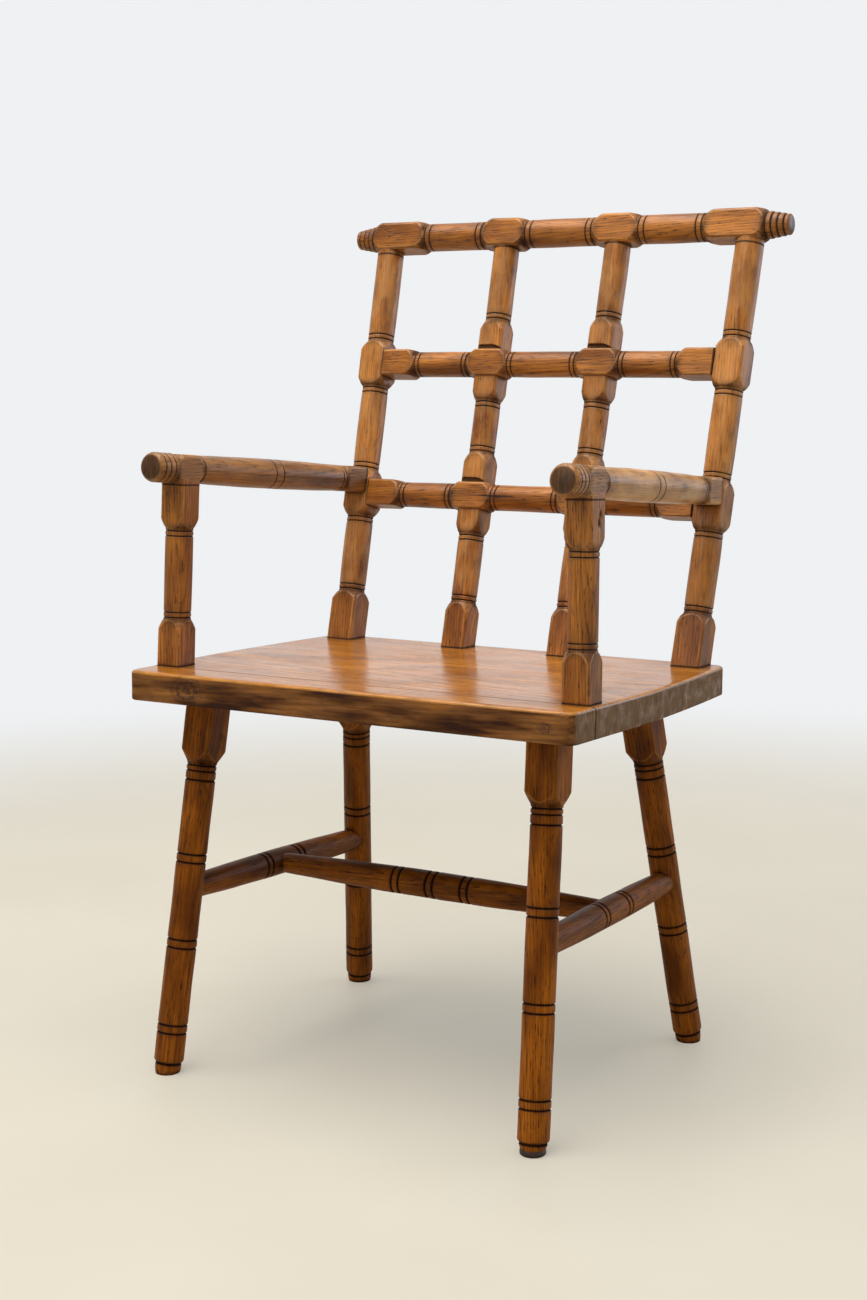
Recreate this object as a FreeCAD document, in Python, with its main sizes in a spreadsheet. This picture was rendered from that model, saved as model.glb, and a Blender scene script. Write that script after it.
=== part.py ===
import FreeCAD, Part
import math
import os
import types

import Sketcher

# Oak armchair with a plank seat, four turned legs tied by stretchers, a lattice back and turned arms.
# Seen from the front, X runs to the right, Y away to the back and Z up; left and right are named so too.
# Every turned piece is square stock, left square where another piece joins it and turned between.

DRIVING = (
    ("seat_height", 440, "floor to the top of the seat at its front edge"),
    ("seat_fall", 7.5, "how much lower the back edge of the seat is than the front edge"),
    ("seat_depth", 388, "front edge to back edge, along the seat"),
    ("seat_thickness", 32, "plank thickness"),
    ("seat_front_width", 534, "width at the front edge, corners not rounded"),
    ("seat_knee_width", 542, "width where the sides start to draw in"),
    ("seat_knee_depth", 165, "front edge to that place"),
    ("seat_back_width", 516, "width at the back edge, corners not rounded"),
    ("seat_side_rise", 2, "how far the drawn-in sides bow outwards"),
    ("seat_front_corner", 12, "radius of the front corners"),
    ("seat_back_corner", 12, "radius of the back corners"),
    ("seat_top_round", 4, "radius worn on the top edge"),
    ("seat_bottom_round", 2, "radius on the bottom edge"),
    ("front_board_depth", 45, "front board of the two that make the seat"),
    ("dowel_diameter", 9, "dowels in the joint between the boards"),
    ("dowel_length", 40, "dowel length, half in each board"),
    ("dowel_count", 4, "dowels in that joint"),
    ("dowel_spacing", 100, "spacing of the dowels"),
    ("front_leg_spread", 416, "front legs apart at the underside of the seat, on their axes"),
    ("front_leg_setback", 66.5, "front edge of the seat to the front legs, at the same place"),
    ("front_foot_spread", 451, "front feet apart on the floor"),
    ("front_foot_setback", 0, "front edge of the seat to the front feet"),
    ("rear_leg_spread", 369, "rear legs apart at the underside of the seat"),
    ("rear_leg_setback", 320, "front edge of the seat to the rear legs there"),
    ("rear_foot_spread", 446, "rear feet apart on the floor"),
    ("rear_foot_setback", 381, "front edge of the seat to the rear feet"),
    ("leg_diameter", 33, "turned part of a leg"),
    ("leg_square", 36.5, "square block at the top of a leg"),
    ("leg_arris", 48.5, "leg block over its eased corners"),
    ("leg_block", 59, "seat to the end of the full block"),
    ("leg_pommel", 13, "slope from the block to the turned part"),
    ("leg_collar_step", 6, "spacing of the two upper grooves below the block"),
    ("leg_collar_drop", 10, "from those to the third groove"),
    ("leg_ring_start", 176.5, "seat to the middle of the first pair of rings"),
    ("leg_ring_pitch", 93.5, "spacing of the pairs of rings on a leg"),
    ("leg_rings", 3, "pairs of rings on a leg"),
    ("leg_pair_width", 9, "spacing of the two grooves of a pair on legs and stretchers"),
    ("toe_groove_height", 11, "floor to the broad groove above the toe, along the leg"),
    ("toe_groove_width", 5, "width of that groove"),
    ("toe_diameter", 29.5, "toe below the groove"),
    ("pad_diameter", 27, "levelling pad under the front right foot"),
    ("pad_thickness", 6, "its thickness"),
    ("pad_edge", 1, "rounding of its lower edge"),
    ("groove_width", 2.8, "width of the turned grooves"),
    ("groove_depth", 1.4, "their depth"),
    ("ring_gap", 3, "end of a block's slope to the first groove"),
    ("ring_step", 5.5, "spacing of the two grooves beside a block"),
    ("side_front_height", 199.5, "floor to the side stretcher on the front leg"),
    ("side_rear_height", 189.5, "floor to the side stretcher on the rear leg"),
    ("side_end_diameter", 25.5, "side stretcher at its ends"),
    ("side_middle_diameter", 30.5, "side stretcher at its middle"),
    ("side_ring_offset", 30, "middle of the side stretcher to its ring pairs"),
    ("cross_end_diameter", 22, "cross stretcher at its ends"),
    ("cross_middle_diameter", 31, "cross stretcher at its middle"),
    ("cross_ring_pitch", 44, "spacing of the three ring pairs on the cross stretcher"),
    ("stretcher_tenon", 15, "diameter of the stretcher tenons"),
    ("stretcher_tenon_length", 18, "their length"),
    ("back_setback", 363.5, "front edge of the seat to the foot of the posts"),
    ("back_length", 497, "seat to the axis of the top rail, along the back"),
    ("back_lean", 129.5, "how far the top rail is behind the foot of the posts"),
    ("outer_foot_spread", 452, "outer posts apart at the seat"),
    ("outer_top_spread", 473, "outer posts apart at the top rail"),
    ("inner_foot_spread", 138.6, "inner posts apart at the seat"),
    ("inner_top_spread", 146.8, "inner posts apart at the top rail"),
    ("low_rail_height", 178, "seat to the axis of the lower rail, along the back"),
    ("mid_rail_height", 338, "seat to the axis of the middle rail"),
    ("outer_square", 35, "square blocks of the outer posts"),
    ("outer_arris", 46.5, "those blocks over their eased corners"),
    ("outer_neck", 32, "outer post beside its blocks"),
    ("outer_belly_rise", 0.5, "swelling of the outer post between its blocks"),
    ("outer_foot_block", 56, "foot block of an outer post with its slope"),
    ("outer_block", 55, "other blocks of an outer post with both slopes"),
    ("post_pommel", 10, "slope at the end of a block on posts and top rail"),
    ("inner_square", 32, "square blocks of the inner posts"),
    ("inner_arris", 41, "those blocks over their eased corners"),
    ("inner_neck", 30.6, "inner post beside its blocks"),
    ("inner_belly_rise", 0.2, "swelling of the inner post between its blocks"),
    ("inner_foot_block", 51, "foot block of an inner post with its slope"),
    ("crossing_below", 44, "rail axis down to the end of the block on an inner post"),
    ("crossing_above", 51, "rail axis up to the other end of that block"),
    ("rail_square", 32, "square blocks of the middle and lower rails"),
    ("rail_arris", 43, "those blocks over their eased corners"),
    ("rail_diameter", 30.8, "turned part of these rails"),
    ("rail_pommel", 9, "slope at the end of a rail block"),
    ("rail_end_block", 42, "end block of a rail with its slope"),
    ("rail_crossing_block", 50, "crossing block of a rail with both slopes"),
    ("rail_proud", 3, "how far the rail axes are in front of the post axes"),
    ("top_diameter", 33.6, "turned part of the top rail"),
    ("top_square", 34, "square blocks of the top rail"),
    ("top_arris", 45, "those blocks over their eased corners"),
    ("top_length", 566, "length of the top rail over its finials"),
    ("top_crossing_block", 54, "top rail block over an inner post with both slopes"),
    ("top_block_inside", 52, "outer post axis to the inner end of the top rail's end block"),
    ("top_block_outside", 18.5, "outer post axis to the outer end of that block"),
    ("top_ring_step", 7, "spacing of the two grooves beside a top rail block"),
    ("finial_root", 32, "finial at the block"),
    ("finial_tip", 22.5, "finial at its flat end"),
    ("finial_first_ring", 5.6, "flat end to the first groove of a finial"),
    ("finial_ring_pitch", 7, "spacing of those grooves"),
    ("finial_rings", 4, "grooves round a finial"),
    ("arm_spread", 489, "arms apart at their front ends, on their axes"),
    ("arm_setback", 20, "front edge of the seat to the front ends of the arms"),
    ("arm_front_height", 656, "floor to the arm axis at the front end"),
    ("arm_on_post", 195, "seat to the arm axis on the outer post, along the back"),
    ("arm_disc", 27, "flat end-grain disc at the front of an arm"),
    ("arm_nose_diameter", 33, "arm behind its rounded nose"),
    ("arm_nose", 5, "length of the rounding"),
    ("arm_nose_bulge", 0.6, "how far the rounding bows outwards"),
    ("arm_nose_groove", 8, "front end to the first groove of the nose"),
    ("arm_nose_pitch", 8, "spacing of those grooves"),
    ("arm_nose_grooves", 3, "grooves round the nose"),
    ("arm_block_place", 50, "front end to the middle of the block over the arm post"),
    ("arm_block", 42, "that block with both slopes"),
    ("arm_rear_block", 38, "block against the outer post with its slope"),
    ("arm_pommel", 8, "slope at the end of an arm block"),
    ("arm_square", 31, "square blocks of an arm"),
    ("arm_arris", 41, "those blocks over their eased corners"),
    ("arm_end_diameter", 31.2, "turned part of an arm beside its blocks"),
    ("arm_belly_rise", 1.5, "swelling of the arm between its blocks"),
    ("arm_pair_width", 14, "spacing of the two grooves at the middle of an arm"),
    ("arm_post_spread", 493, "arm posts apart at the seat"),
    ("arm_post_setback", 58, "front edge of the seat to the arm posts there"),
    ("arm_post_square", 31, "square blocks of an arm post"),
    ("arm_post_arris", 41, "those blocks over their eased corners"),
    ("arm_post_diameter", 30.6, "turned part of an arm post"),
    ("arm_post_foot_block", 50, "foot block of an arm post with its slope"),
    ("arm_post_top_block", 48, "top block of an arm post with its slope"),
    ("leg_tenon", 20, "diameter of the leg tenons in the seat"),
    ("post_tenon", 18, "diameter of the back post tenons in the seat"),
    ("arm_post_tenon", 15, "diameter of the arm post tenons, at both ends"),
    ("seat_tenon_length", 22, "length of every tenon in the seat"),
    ("top_tenon", 16, "diameter of the post tenons in the top rail"),
    ("top_tenon_length", 20, "their length"),
    ("arm_tenon", 16, "diameter of the arm tenons in the outer posts"),
    ("arm_tenon_length", 19, "their length"),
    ("arm_post_tenon_length", 18, "length of the arm post tenons in the arms"),
    ("rail_tenon", 13, "diameter of the rail tenons in the outer posts"),
    ("rail_tenon_length", 12, "their length"),
    ("tenon_root", 12, "how far a tenon is drawn back into its own piece"),
    ("glue_gap", 0.1, "clearance all round a joint"),
    ("socket_spare", 1, "depth left past the end of a tenon"),
    ("trim", 30, "length turned past a joint face and then cut off"),
)

doc = FreeCAD.newDocument("oak_armchair")
sheet = doc.addObject("Spreadsheet::Sheet", "dims")
for row, (alias, amount, meaning) in enumerate(DRIVING, start=1):
    sheet.set(f"A{row}", meaning)
    sheet.set(f"B{row}", str(amount))
    sheet.setAlias(f"B{row}", alias)
doc.recompute()


class Size:
    """A number together with the sheet formula that gives it."""

    def __init__(self, number, formula):
        self.number = float(number)
        self.formula = formula

    def combine(self, other, sign, number, flipped=False):
        other = as_size(other)
        first, second = (other, self) if flipped else (self, other)
        return Size(number(first.number, second.number), f"({first.formula} {sign} {second.formula})")

    def __add__(self, other):
        return self.combine(other, "+", lambda one, two: one + two)

    def __radd__(self, other):
        return self.combine(other, "+", lambda one, two: one + two, flipped=True)

    def __sub__(self, other):
        return self.combine(other, "-", lambda one, two: one - two)

    def __rsub__(self, other):
        return self.combine(other, "-", lambda one, two: one - two, flipped=True)

    def __mul__(self, other):
        return self.combine(other, "*", lambda one, two: one * two)

    def __rmul__(self, other):
        return self.combine(other, "*", lambda one, two: one * two, flipped=True)

    def __truediv__(self, other):
        return self.combine(other, "/", lambda one, two: one / two)

    def __neg__(self):
        return 0 - self

    def root(self):
        return Size(math.sqrt(self.number), f"sqrt({self.formula})")


def as_size(amount):
    """The amount itself, or a plain number as a Size."""
    if isinstance(amount, Size):
        return amount
    return Size(amount, f"({amount!r})")


size = types.SimpleNamespace(
    **{alias: Size(getattr(sheet, alias), f"dims.{alias}") for alias, _, _ in DRIVING}
)


def point(place):
    """Vector of a place given as three sizes."""
    return FreeCAD.Vector(*(as_size(amount).number for amount in place))


def span(start, end):
    """Distance between two places as a Size."""
    squares = [(b - a) * (b - a) for a, b in zip(map(as_size, start), map(as_size, end))]
    return (squares[0] + squares[1] + squares[2]).root()


def between(start, end, share):
    """Place at a share of the way from start to end."""
    return tuple(as_size(a) + (as_size(b) - a) * share for a, b in zip(start, end))


def mirrored(place, side):
    """The same place on the side given by the sign."""
    return (place[0] * side, place[1], place[2])


def bind(item, **sizes):
    """Tie the properties of an object to the sheet."""
    for name, amount in sizes.items():
        item.setExpression(name, as_size(amount).formula)
    return item


# Places that the pieces are set out from, each three sizes

SEAT_SLOPE = size.seat_fall / size.seat_depth
SEAT_STRETCH = (1 + SEAT_SLOPE * SEAT_SLOPE).root()
LEAN = size.back_lean / size.back_length
RISE = (1 - LEAN * LEAN).root()


def on_seat(across, back, below=0):
    """Place on the seat top, or square below it by the given thickness."""
    return (as_size(across), as_size(back), size.seat_height - SEAT_SLOPE * back - SEAT_STRETCH * below)


def on_back(across, up):
    """Place in the leaning plane of the post axes, a distance up it from the seat."""
    foot = on_seat(0, size.back_setback)
    return (as_size(across), foot[1] + LEAN * up, foot[2] + RISE * up)


def post_axis(foot_spread, top_spread, up):
    """Place on a back post at a height up the plane of the back."""
    half = foot_spread / 2 + (top_spread - foot_spread) / 2 * up / size.back_length
    return on_back(half, up)


LEG_ENDS = {
    "front": (
        on_seat(size.front_leg_spread / 2, size.front_leg_setback, size.seat_thickness),
        (size.front_foot_spread / 2, size.front_foot_setback, as_size(0)),
    ),
    "rear": (
        on_seat(size.rear_leg_spread / 2, size.rear_leg_setback, size.seat_thickness),
        (size.rear_foot_spread / 2, size.rear_foot_setback, as_size(0)),
    ),
}
OUTER_FOOT = post_axis(size.outer_foot_spread, size.outer_top_spread, as_size(0))
OUTER_TOP = post_axis(size.outer_foot_spread, size.outer_top_spread, size.back_length)
INNER_FOOT = post_axis(size.inner_foot_spread, size.inner_top_spread, as_size(0))
INNER_TOP = post_axis(size.inner_foot_spread, size.inner_top_spread, size.back_length)
ARM_FRONT = (size.arm_spread / 2, size.arm_setback, size.arm_front_height)
ARM_REAR = post_axis(size.outer_foot_spread, size.outer_top_spread, size.arm_on_post)
ARM_LENGTH = span(ARM_FRONT, ARM_REAR)
ARM_POST_FOOT = on_seat(size.arm_post_spread / 2, size.arm_post_setback)
ARM_POST_TOP = between(ARM_FRONT, ARM_REAR, size.arm_block_place / ARM_LENGTH)
ARM_POST_LENGTH = span(ARM_POST_FOOT, ARM_POST_TOP)


def on_leg(which, height):
    """Place on a leg axis at a height over the floor."""
    top, foot = LEG_ENDS[which]
    return between(foot, top, height / top[2])


SIDE_FRONT = on_leg("front", size.side_front_height)
SIDE_REAR = on_leg("rear", size.side_rear_height)
SIDE_LENGTH = span(SIDE_FRONT, SIDE_REAR)
CROSS_END = between(SIDE_FRONT, SIDE_REAR, as_size(0.5))
CROSS_LENGTH = CROSS_END[0] * 2

BACKWARD = FreeCAD.Vector(0, 1, 0)
UPWARD = FreeCAD.Vector(0, 0, 1)
SEAT_FRAME = FreeCAD.Placement(
    point(on_seat(0, 0)),
    FreeCAD.Rotation(FreeCAD.Vector(1, 0, 0), math.degrees(-math.atan(SEAT_SLOPE.number))),
)
BACK_FRAME = FreeCAD.Placement(
    point(on_back(0, as_size(0))),
    FreeCAD.Rotation(FreeCAD.Vector(1, 0, 0), math.degrees(-math.asin(LEAN.number))),
)


def aim(start, end, facing, before=0):
    """Frame with Z from start to end, Y near the facing direction, begun a length before start."""
    axis = (point(end) - point(start)).normalize()
    turn = FreeCAD.Rotation(FreeCAD.Vector(), facing, axis, "ZYX")
    return FreeCAD.Placement(point(start) - axis * as_size(before).number, turn)


def shifted(frame, across=0, along=0, up=0):
    """A frame moved in its own directions."""
    step = FreeCAD.Vector(*(as_size(amount).number for amount in (across, along, up)))
    return frame.multiply(FreeCAD.Placement(step, FreeCAD.Rotation()))


# Solids that the pieces are cut from

def draw_loop(sketch, corners):
    """Closed loop through corners (across, along, rise); rise bows the edge that leaves the corner."""
    first = sketch.GeometryCount
    count = len(corners)
    spots = [FreeCAD.Vector(as_size(c[0]).number, as_size(c[1]).number, 0) for c in corners]
    for index, corner in enumerate(corners):
        start, end = spots[index], spots[(index + 1) % count]
        rise = as_size(corner[2]).number if len(corner) > 2 else 0
        if rise:
            chord = end - start
            radius = (chord.Length ** 2 / 4 + rise ** 2) / (2 * rise)
            outward = FreeCAD.Vector(chord.y, -chord.x, 0).normalize()
            centre = (start + end) / 2 - outward * (radius - rise)
            begin = math.atan2(start.y - centre.y, start.x - centre.x)
            finish = math.atan2(end.y - centre.y, end.x - centre.x)
            circle = Part.Circle(centre, UPWARD, radius)
            sketch.addGeometry(Part.ArcOfCircle(circle, begin, finish))
        else:
            sketch.addGeometry(Part.LineSegment(start, end))
    for index, corner in enumerate(corners):
        following = (index + 1) % count
        sketch.addConstraint(Sketcher.Constraint("Coincident", first + index, 2, first + following, 1))
        tie_corner(sketch, first + index, corner)
        if len(corner) > 2 and as_size(corner[2]).number:
            tie_radius(sketch, first + index, corner, corners[following])


def tie_corner(sketch, edge, corner):
    """Hold the start of an edge at its two sizes."""
    for kind, axis, amount in (("DistanceX", -2, corner[0]), ("DistanceY", -1, corner[1])):
        amount = as_size(amount)
        if amount.number == 0:
            sketch.addConstraint(Sketcher.Constraint("PointOnObject", edge, 1, axis))
        else:
            held = sketch.addConstraint(Sketcher.Constraint(kind, -1, 1, edge, 1, amount.number))
            tie(sketch, held, f"{kind[-1].lower()}_{edge}", amount)


def tie_radius(sketch, edge, corner, following):
    """Hold an arc at the radius that its chord and rise give."""
    across = as_size(following[0]) - corner[0]
    along = as_size(following[1]) - corner[1]
    rise = as_size(corner[2])
    radius = ((across * across + along * along) / 4 + rise * rise) / (rise * 2)
    held = sketch.addConstraint(Sketcher.Constraint("Radius", edge, radius.number))
    tie(sketch, held, f"radius_{edge}", radius)


def tie(sketch, held, name, amount):
    """Name a constraint and bind it to the sheet."""
    sketch.renameConstraint(held, name)
    sketch.setExpression(f"Constraints.{name}", amount.formula)


def own_sketch(body, name, plane):
    """Sketch on one of a body's own origin planes."""
    sketch = body.newObject("Sketcher::SketchObject", name)
    base = next(item for item in body.Origin.OriginFeatures if item.Role == plane)
    sketch.AttachmentSupport = (base, "")
    sketch.MapMode = "FlatFace"
    return sketch


def turned(name, frame, corners, grooves=()):
    """Body turned to a half outline, with V grooves given as (height, radius there, width)."""
    body = doc.addObject("PartDesign::Body", name)
    outline = own_sketch(body, f"{name}_outline", "XZ_Plane")
    draw_loop(outline, corners)
    spin = body.newObject("PartDesign::Revolution", f"{name}_turning")
    spin.Profile = outline
    spin.ReferenceAxis = (outline, ["V_Axis"])
    spin.Angle = 360
    if grooves:
        cuts = own_sketch(body, f"{name}_groove_sketch", "XZ_Plane")
        for height, radius, width in grooves:
            slope = width / 2 / size.groove_depth
            rim = radius + size.groove_depth
            reach = slope * size.groove_depth * 2
            bottom = (radius - size.groove_depth, height)
            draw_loop(cuts, [bottom, (rim, height - reach), (rim, height + reach)])
        groove = body.newObject("PartDesign::Groove", f"{name}_grooves")
        groove.Profile = cuts
        groove.ReferenceAxis = (cuts, ["V_Axis"])
        groove.Angle = 360
    body.Placement = frame
    return body


def square_stock(name, frame, side, length):
    """Square bar centred on the frame's Z axis."""
    bar = doc.addObject("Part::Box", name)
    bind(bar, Length=side, Width=side, Height=length)
    bar.Placement = shifted(frame, -as_size(side) / 2, -as_size(side) / 2)
    return bar


def rod(name, frame, diameter, length, start=0):
    """Round bar along the frame's Z axis."""
    bar = doc.addObject("Part::Cylinder", name)
    bind(bar, Radius=as_size(diameter) / 2, Height=length)
    bar.Placement = shifted(frame, up=start)
    return bar


# Edge of the blocks that stand for half of space, well over the size of the chair
ROOM = size.seat_height * 4


def half_space(name, frame, direction):
    """Large block on one side of the frame's XY plane: direction 1 is along +Z, -1 along -Z."""
    block = doc.addObject("Part::Box", name)
    bind(block, Length=ROOM, Width=ROOM, Height=ROOM)
    block.Placement = shifted(frame, -ROOM / 2, -ROOM / 2, 0 if direction > 0 else -ROOM)
    return block


def common(name, *pieces):
    """What all the pieces share."""
    result = doc.addObject("Part::MultiCommon", name)
    result.Shapes = list(pieces)
    return result


def joined(name, *pieces):
    """The pieces as one solid."""
    result = doc.addObject("Part::MultiFuse", name)
    result.Shapes = list(pieces)
    return result


def cut(name, base, *tools):
    """The base less the tools."""
    group = doc.addObject("Part::Compound", f"{name}_tools")
    group.Links = list(tools)
    result = doc.addObject("Part::Cut", name)
    result.Base = base
    result.Tool = group
    return result


def tenon(name, frame, diameter, length):
    """Round tenon past the frame's XY plane, drawn back into its own piece."""
    return rod(name, frame, diameter, size.tenon_root + length, -size.tenon_root)


def socket(name, frame, diameter, length):
    """Bored hole for that tenon."""
    width = as_size(diameter) + size.glue_gap * 2
    depth = size.tenon_root + length + size.socket_spare
    return rod(name, frame, width, depth, -size.tenon_root)


def block(start, end, neck, arris, pommel, slope_at_start=True, slope_at_end=True):
    """Outline corners of a square block with its turned slopes."""
    corners = []
    if slope_at_start:
        corners += [(neck / 2, start), (arris / 2, start + pommel)]
    else:
        corners += [(arris / 2, start)]
    if slope_at_end:
        corners += [(arris / 2, end - pommel), (neck / 2, end)]
    else:
        corners += [(arris / 2, end)]
    return corners


def pair(height, radius, step):
    """Two grooves, the first at a height and the second a step on."""
    return [(height, radius, size.groove_width), (height + step, radius, size.groove_width)]


def bowed(corners, rise):
    """The same corners with the edge that leaves the last one bowed outwards."""
    return corners[:-1] + [(*corners[-1][:2], rise)]


SIDES = (("left", -1), ("right", 1))
floor_frame = FreeCAD.Placement()
above_floor = half_space("space_above_floor", floor_frame, 1)
above_pad = half_space("space_above_pad", shifted(floor_frame, up=size.pad_thickness), 1)
below_seat = half_space("space_below_seat", shifted(SEAT_FRAME, up=-size.seat_thickness), -1)
above_seat = half_space("space_above_seat", SEAT_FRAME, 1)
TOP_RAIL_UNDERSIDE = size.back_length - size.top_square / 2
below_top_rail = half_space("space_below_top_rail", shifted(BACK_FRAME, up=TOP_RAIL_UNDERSIDE), -1)
nodes = {}
seat_sockets = []


# Legs

def leg_frame(which, side):
    """Frame that runs down a leg from the underside of the seat."""
    top, foot = LEG_ENDS[which]
    return aim(mirrored(top, side), mirrored(foot, side), BACKWARD, before=size.trim)


def make_leg(which, side_name, side):
    """Leg with its block cut to the seat, its foot cut to the floor or to the levelling pad."""
    name = f"{which}_{side_name}_leg"
    frame = leg_frame(which, side)
    top = size.trim
    radius = size.leg_diameter / 2
    floor = top + span(*LEG_ENDS[which])
    toe = floor - size.toe_groove_height
    slope_end = top + size.leg_block + size.leg_pommel
    toe_narrowing = size.toe_groove_width / 2
    corners = [
        (0, 0),
        *block(as_size(0), slope_end, size.leg_diameter, size.leg_arris, size.leg_pommel, slope_at_start=False),
        (radius, toe),
        (size.toe_diameter / 2, toe + toe_narrowing),
        (size.toe_diameter / 2 - toe_narrowing, floor + size.trim),
        (0, floor + size.trim),
    ]
    first = slope_end + size.ring_gap
    grooves = pair(first, radius, size.leg_collar_step)
    grooves.append((first + size.leg_collar_step + size.leg_collar_drop, radius, size.groove_width))
    for number in range(round(size.leg_rings.number)):
        middle = top + size.leg_ring_start + size.leg_ring_pitch * number
        grooves += pair(middle - size.leg_pair_width / 2, radius, size.leg_pair_width)
    grooves.append((toe, radius, size.toe_groove_width))
    turning = turned(f"{name}_turning", frame, corners, grooves)
    stock = square_stock(f"{name}_stock", frame, size.leg_square, floor + size.trim)
    on_pad = which == "front" and side_name == "right"
    ground = above_pad if on_pad else above_floor
    trimmed = common(f"{name}_trimmed", turning, stock, ground, below_seat)
    shoulder = shifted(aim(mirrored(LEG_ENDS[which][1], side), mirrored(LEG_ENDS[which][0], side), BACKWARD),
                       up=span(*LEG_ENDS[which]))
    whole = joined(f"{name}_whole", trimmed,
                   tenon(f"{name}_tenon", shoulder, size.leg_tenon, size.seat_tenon_length))
    seat_sockets.append(socket(f"{name}_socket", shoulder, size.leg_tenon, size.seat_tenon_length))
    end = SIDE_FRONT if which == "front" else SIDE_REAR
    other = SIDE_REAR if which == "front" else SIDE_FRONT
    mortise_frame = shifted(aim(mirrored(other, side), mirrored(end, side), UPWARD),
                            up=SIDE_LENGTH - size.leg_diameter / 2)
    mortise = socket(f"{name}_mortise", mortise_frame, size.stretcher_tenon, size.stretcher_tenon_length)
    nodes[name] = cut(name, whole, mortise)


for side_name, side in SIDES:
    for which in ("front", "rear"):
        make_leg(which, side_name, side)


# Stretchers

def spindle(name, start, end, end_diameter, middle_diameter, grooves):
    """Bar turned fattest at its middle, between two places."""
    length = span(start, end)
    rise = (middle_diameter - end_diameter) / 2
    corners = [(0, 0), (end_diameter / 2, 0, rise), (end_diameter / 2, length), (0, length)]
    return turned(name, aim(start, end, UPWARD), corners, grooves)


def leg_clearance(name, which, side):
    """The turned part of a leg with its glue gap, to cope a stretcher end against it."""
    length = span(*LEG_ENDS[which]) + size.trim
    return rod(name, leg_frame(which, side), size.leg_diameter + size.glue_gap * 2, length)


def make_side_stretcher(side_name, side):
    """Side stretcher coped to its two legs, bored for the cross stretcher."""
    name = f"{side_name}_side_stretcher"
    start, end = mirrored(SIDE_FRONT, side), mirrored(SIDE_REAR, side)
    grooves = []
    for way in (-1, 1):
        middle = SIDE_LENGTH / 2 + size.side_ring_offset * way
        radius = size.side_middle_diameter / 2
        grooves += pair(middle - size.leg_pair_width / 2, radius, size.leg_pair_width)
    bar = spindle(f"{name}_turning", start, end, size.side_end_diameter, size.side_middle_diameter, grooves)
    coped = cut(f"{name}_coped", bar,
                leg_clearance(f"{name}_front_cope", "front", side),
                leg_clearance(f"{name}_rear_cope", "rear", side))
    reach = SIDE_LENGTH - size.leg_diameter / 2
    tenons = [
        tenon(f"{name}_front_tenon", shifted(aim(end, start, UPWARD), up=reach),
              size.stretcher_tenon, size.stretcher_tenon_length),
        tenon(f"{name}_rear_tenon", shifted(aim(start, end, UPWARD), up=reach),
              size.stretcher_tenon, size.stretcher_tenon_length),
    ]
    whole = joined(f"{name}_whole", coped, *tenons)
    nodes[name] = cut(name, whole, socket(f"{name}_mortise", cross_shoulder(side),
                                          size.stretcher_tenon, size.stretcher_tenon_length))


def cross_shoulder(side):
    """Frame at the end of the cross stretcher, on the inner face of a side stretcher."""
    middle = between(CROSS_END, mirrored(CROSS_END, -1), as_size(0.5))
    frame = aim(middle, mirrored(CROSS_END, side), UPWARD)
    return shifted(frame, up=(CROSS_LENGTH - size.side_middle_diameter) / 2)


def make_cross_stretcher():
    """Cross stretcher coped to the side stretchers."""
    name = "cross_stretcher"
    grooves = []
    for number in (-1, 0, 1):
        middle = CROSS_LENGTH / 2 + size.cross_ring_pitch * number
        radius = size.cross_middle_diameter / 2
        grooves += pair(middle - size.leg_pair_width / 2, radius, size.leg_pair_width)
    bar = spindle(f"{name}_turning", mirrored(CROSS_END, -1), CROSS_END,
                  size.cross_end_diameter, size.cross_middle_diameter, grooves)
    copes = []
    tenons = []
    for side_name, side in SIDES:
        frame = aim(mirrored(SIDE_FRONT, side), mirrored(SIDE_REAR, side), UPWARD)
        width = size.side_middle_diameter + size.glue_gap * 2
        copes.append(rod(f"{name}_{side_name}_cope", frame, width, SIDE_LENGTH))
        tenons.append(tenon(f"{name}_{side_name}_tenon", cross_shoulder(side),
                            size.stretcher_tenon, size.stretcher_tenon_length))
    nodes[name] = joined(name, cut(f"{name}_coped", bar, *copes), *tenons)


for side_name, side in SIDES:
    make_side_stretcher(side_name, side)
make_cross_stretcher()


# Posts of the back

def shaft(corners, height, neck, rise):
    """Run a bowed shaft from the last corner up to a height."""
    return bowed(corners, rise) + [(neck / 2, height)]


def rail_frame(height):
    """Frame at the middle of a rail, Z along it, Y up the back, X out of the front."""
    middle = on_back(as_size(0), height)
    turn = BACK_FRAME.Rotation.multiply(FreeCAD.Rotation(
        FreeCAD.Vector(0, -1, 0), FreeCAD.Vector(0, 0, 1), FreeCAD.Vector(-1, 0, 0), "ZYX"))
    return FreeCAD.Placement(point(middle), turn)


def rail_tenon_frame(height, side):
    """Frame on the inner face of an outer post, Z going into the post along the rail."""
    post = mirrored(post_axis(size.outer_foot_spread, size.outer_top_spread, height), side)
    frame = aim(on_back(as_size(0), height), post, BACKWARD)
    inner_face = post[0] * side - size.outer_square / 2
    proud = shifted(BACK_FRAME, along=-size.rail_proud).Base - BACK_FRAME.Base
    placed = shifted(frame, up=inner_face)
    return FreeCAD.Placement(placed.Base + proud, placed.Rotation)


def arm_tenon_frame(side):
    """Frame where an arm meets the front face of its outer post, Z going into the post."""
    frame = aim(mirrored(ARM_FRONT, side), mirrored(ARM_REAR, side), UPWARD)
    return shifted(frame, up=ARM_LENGTH - size.outer_square / 2)


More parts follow.
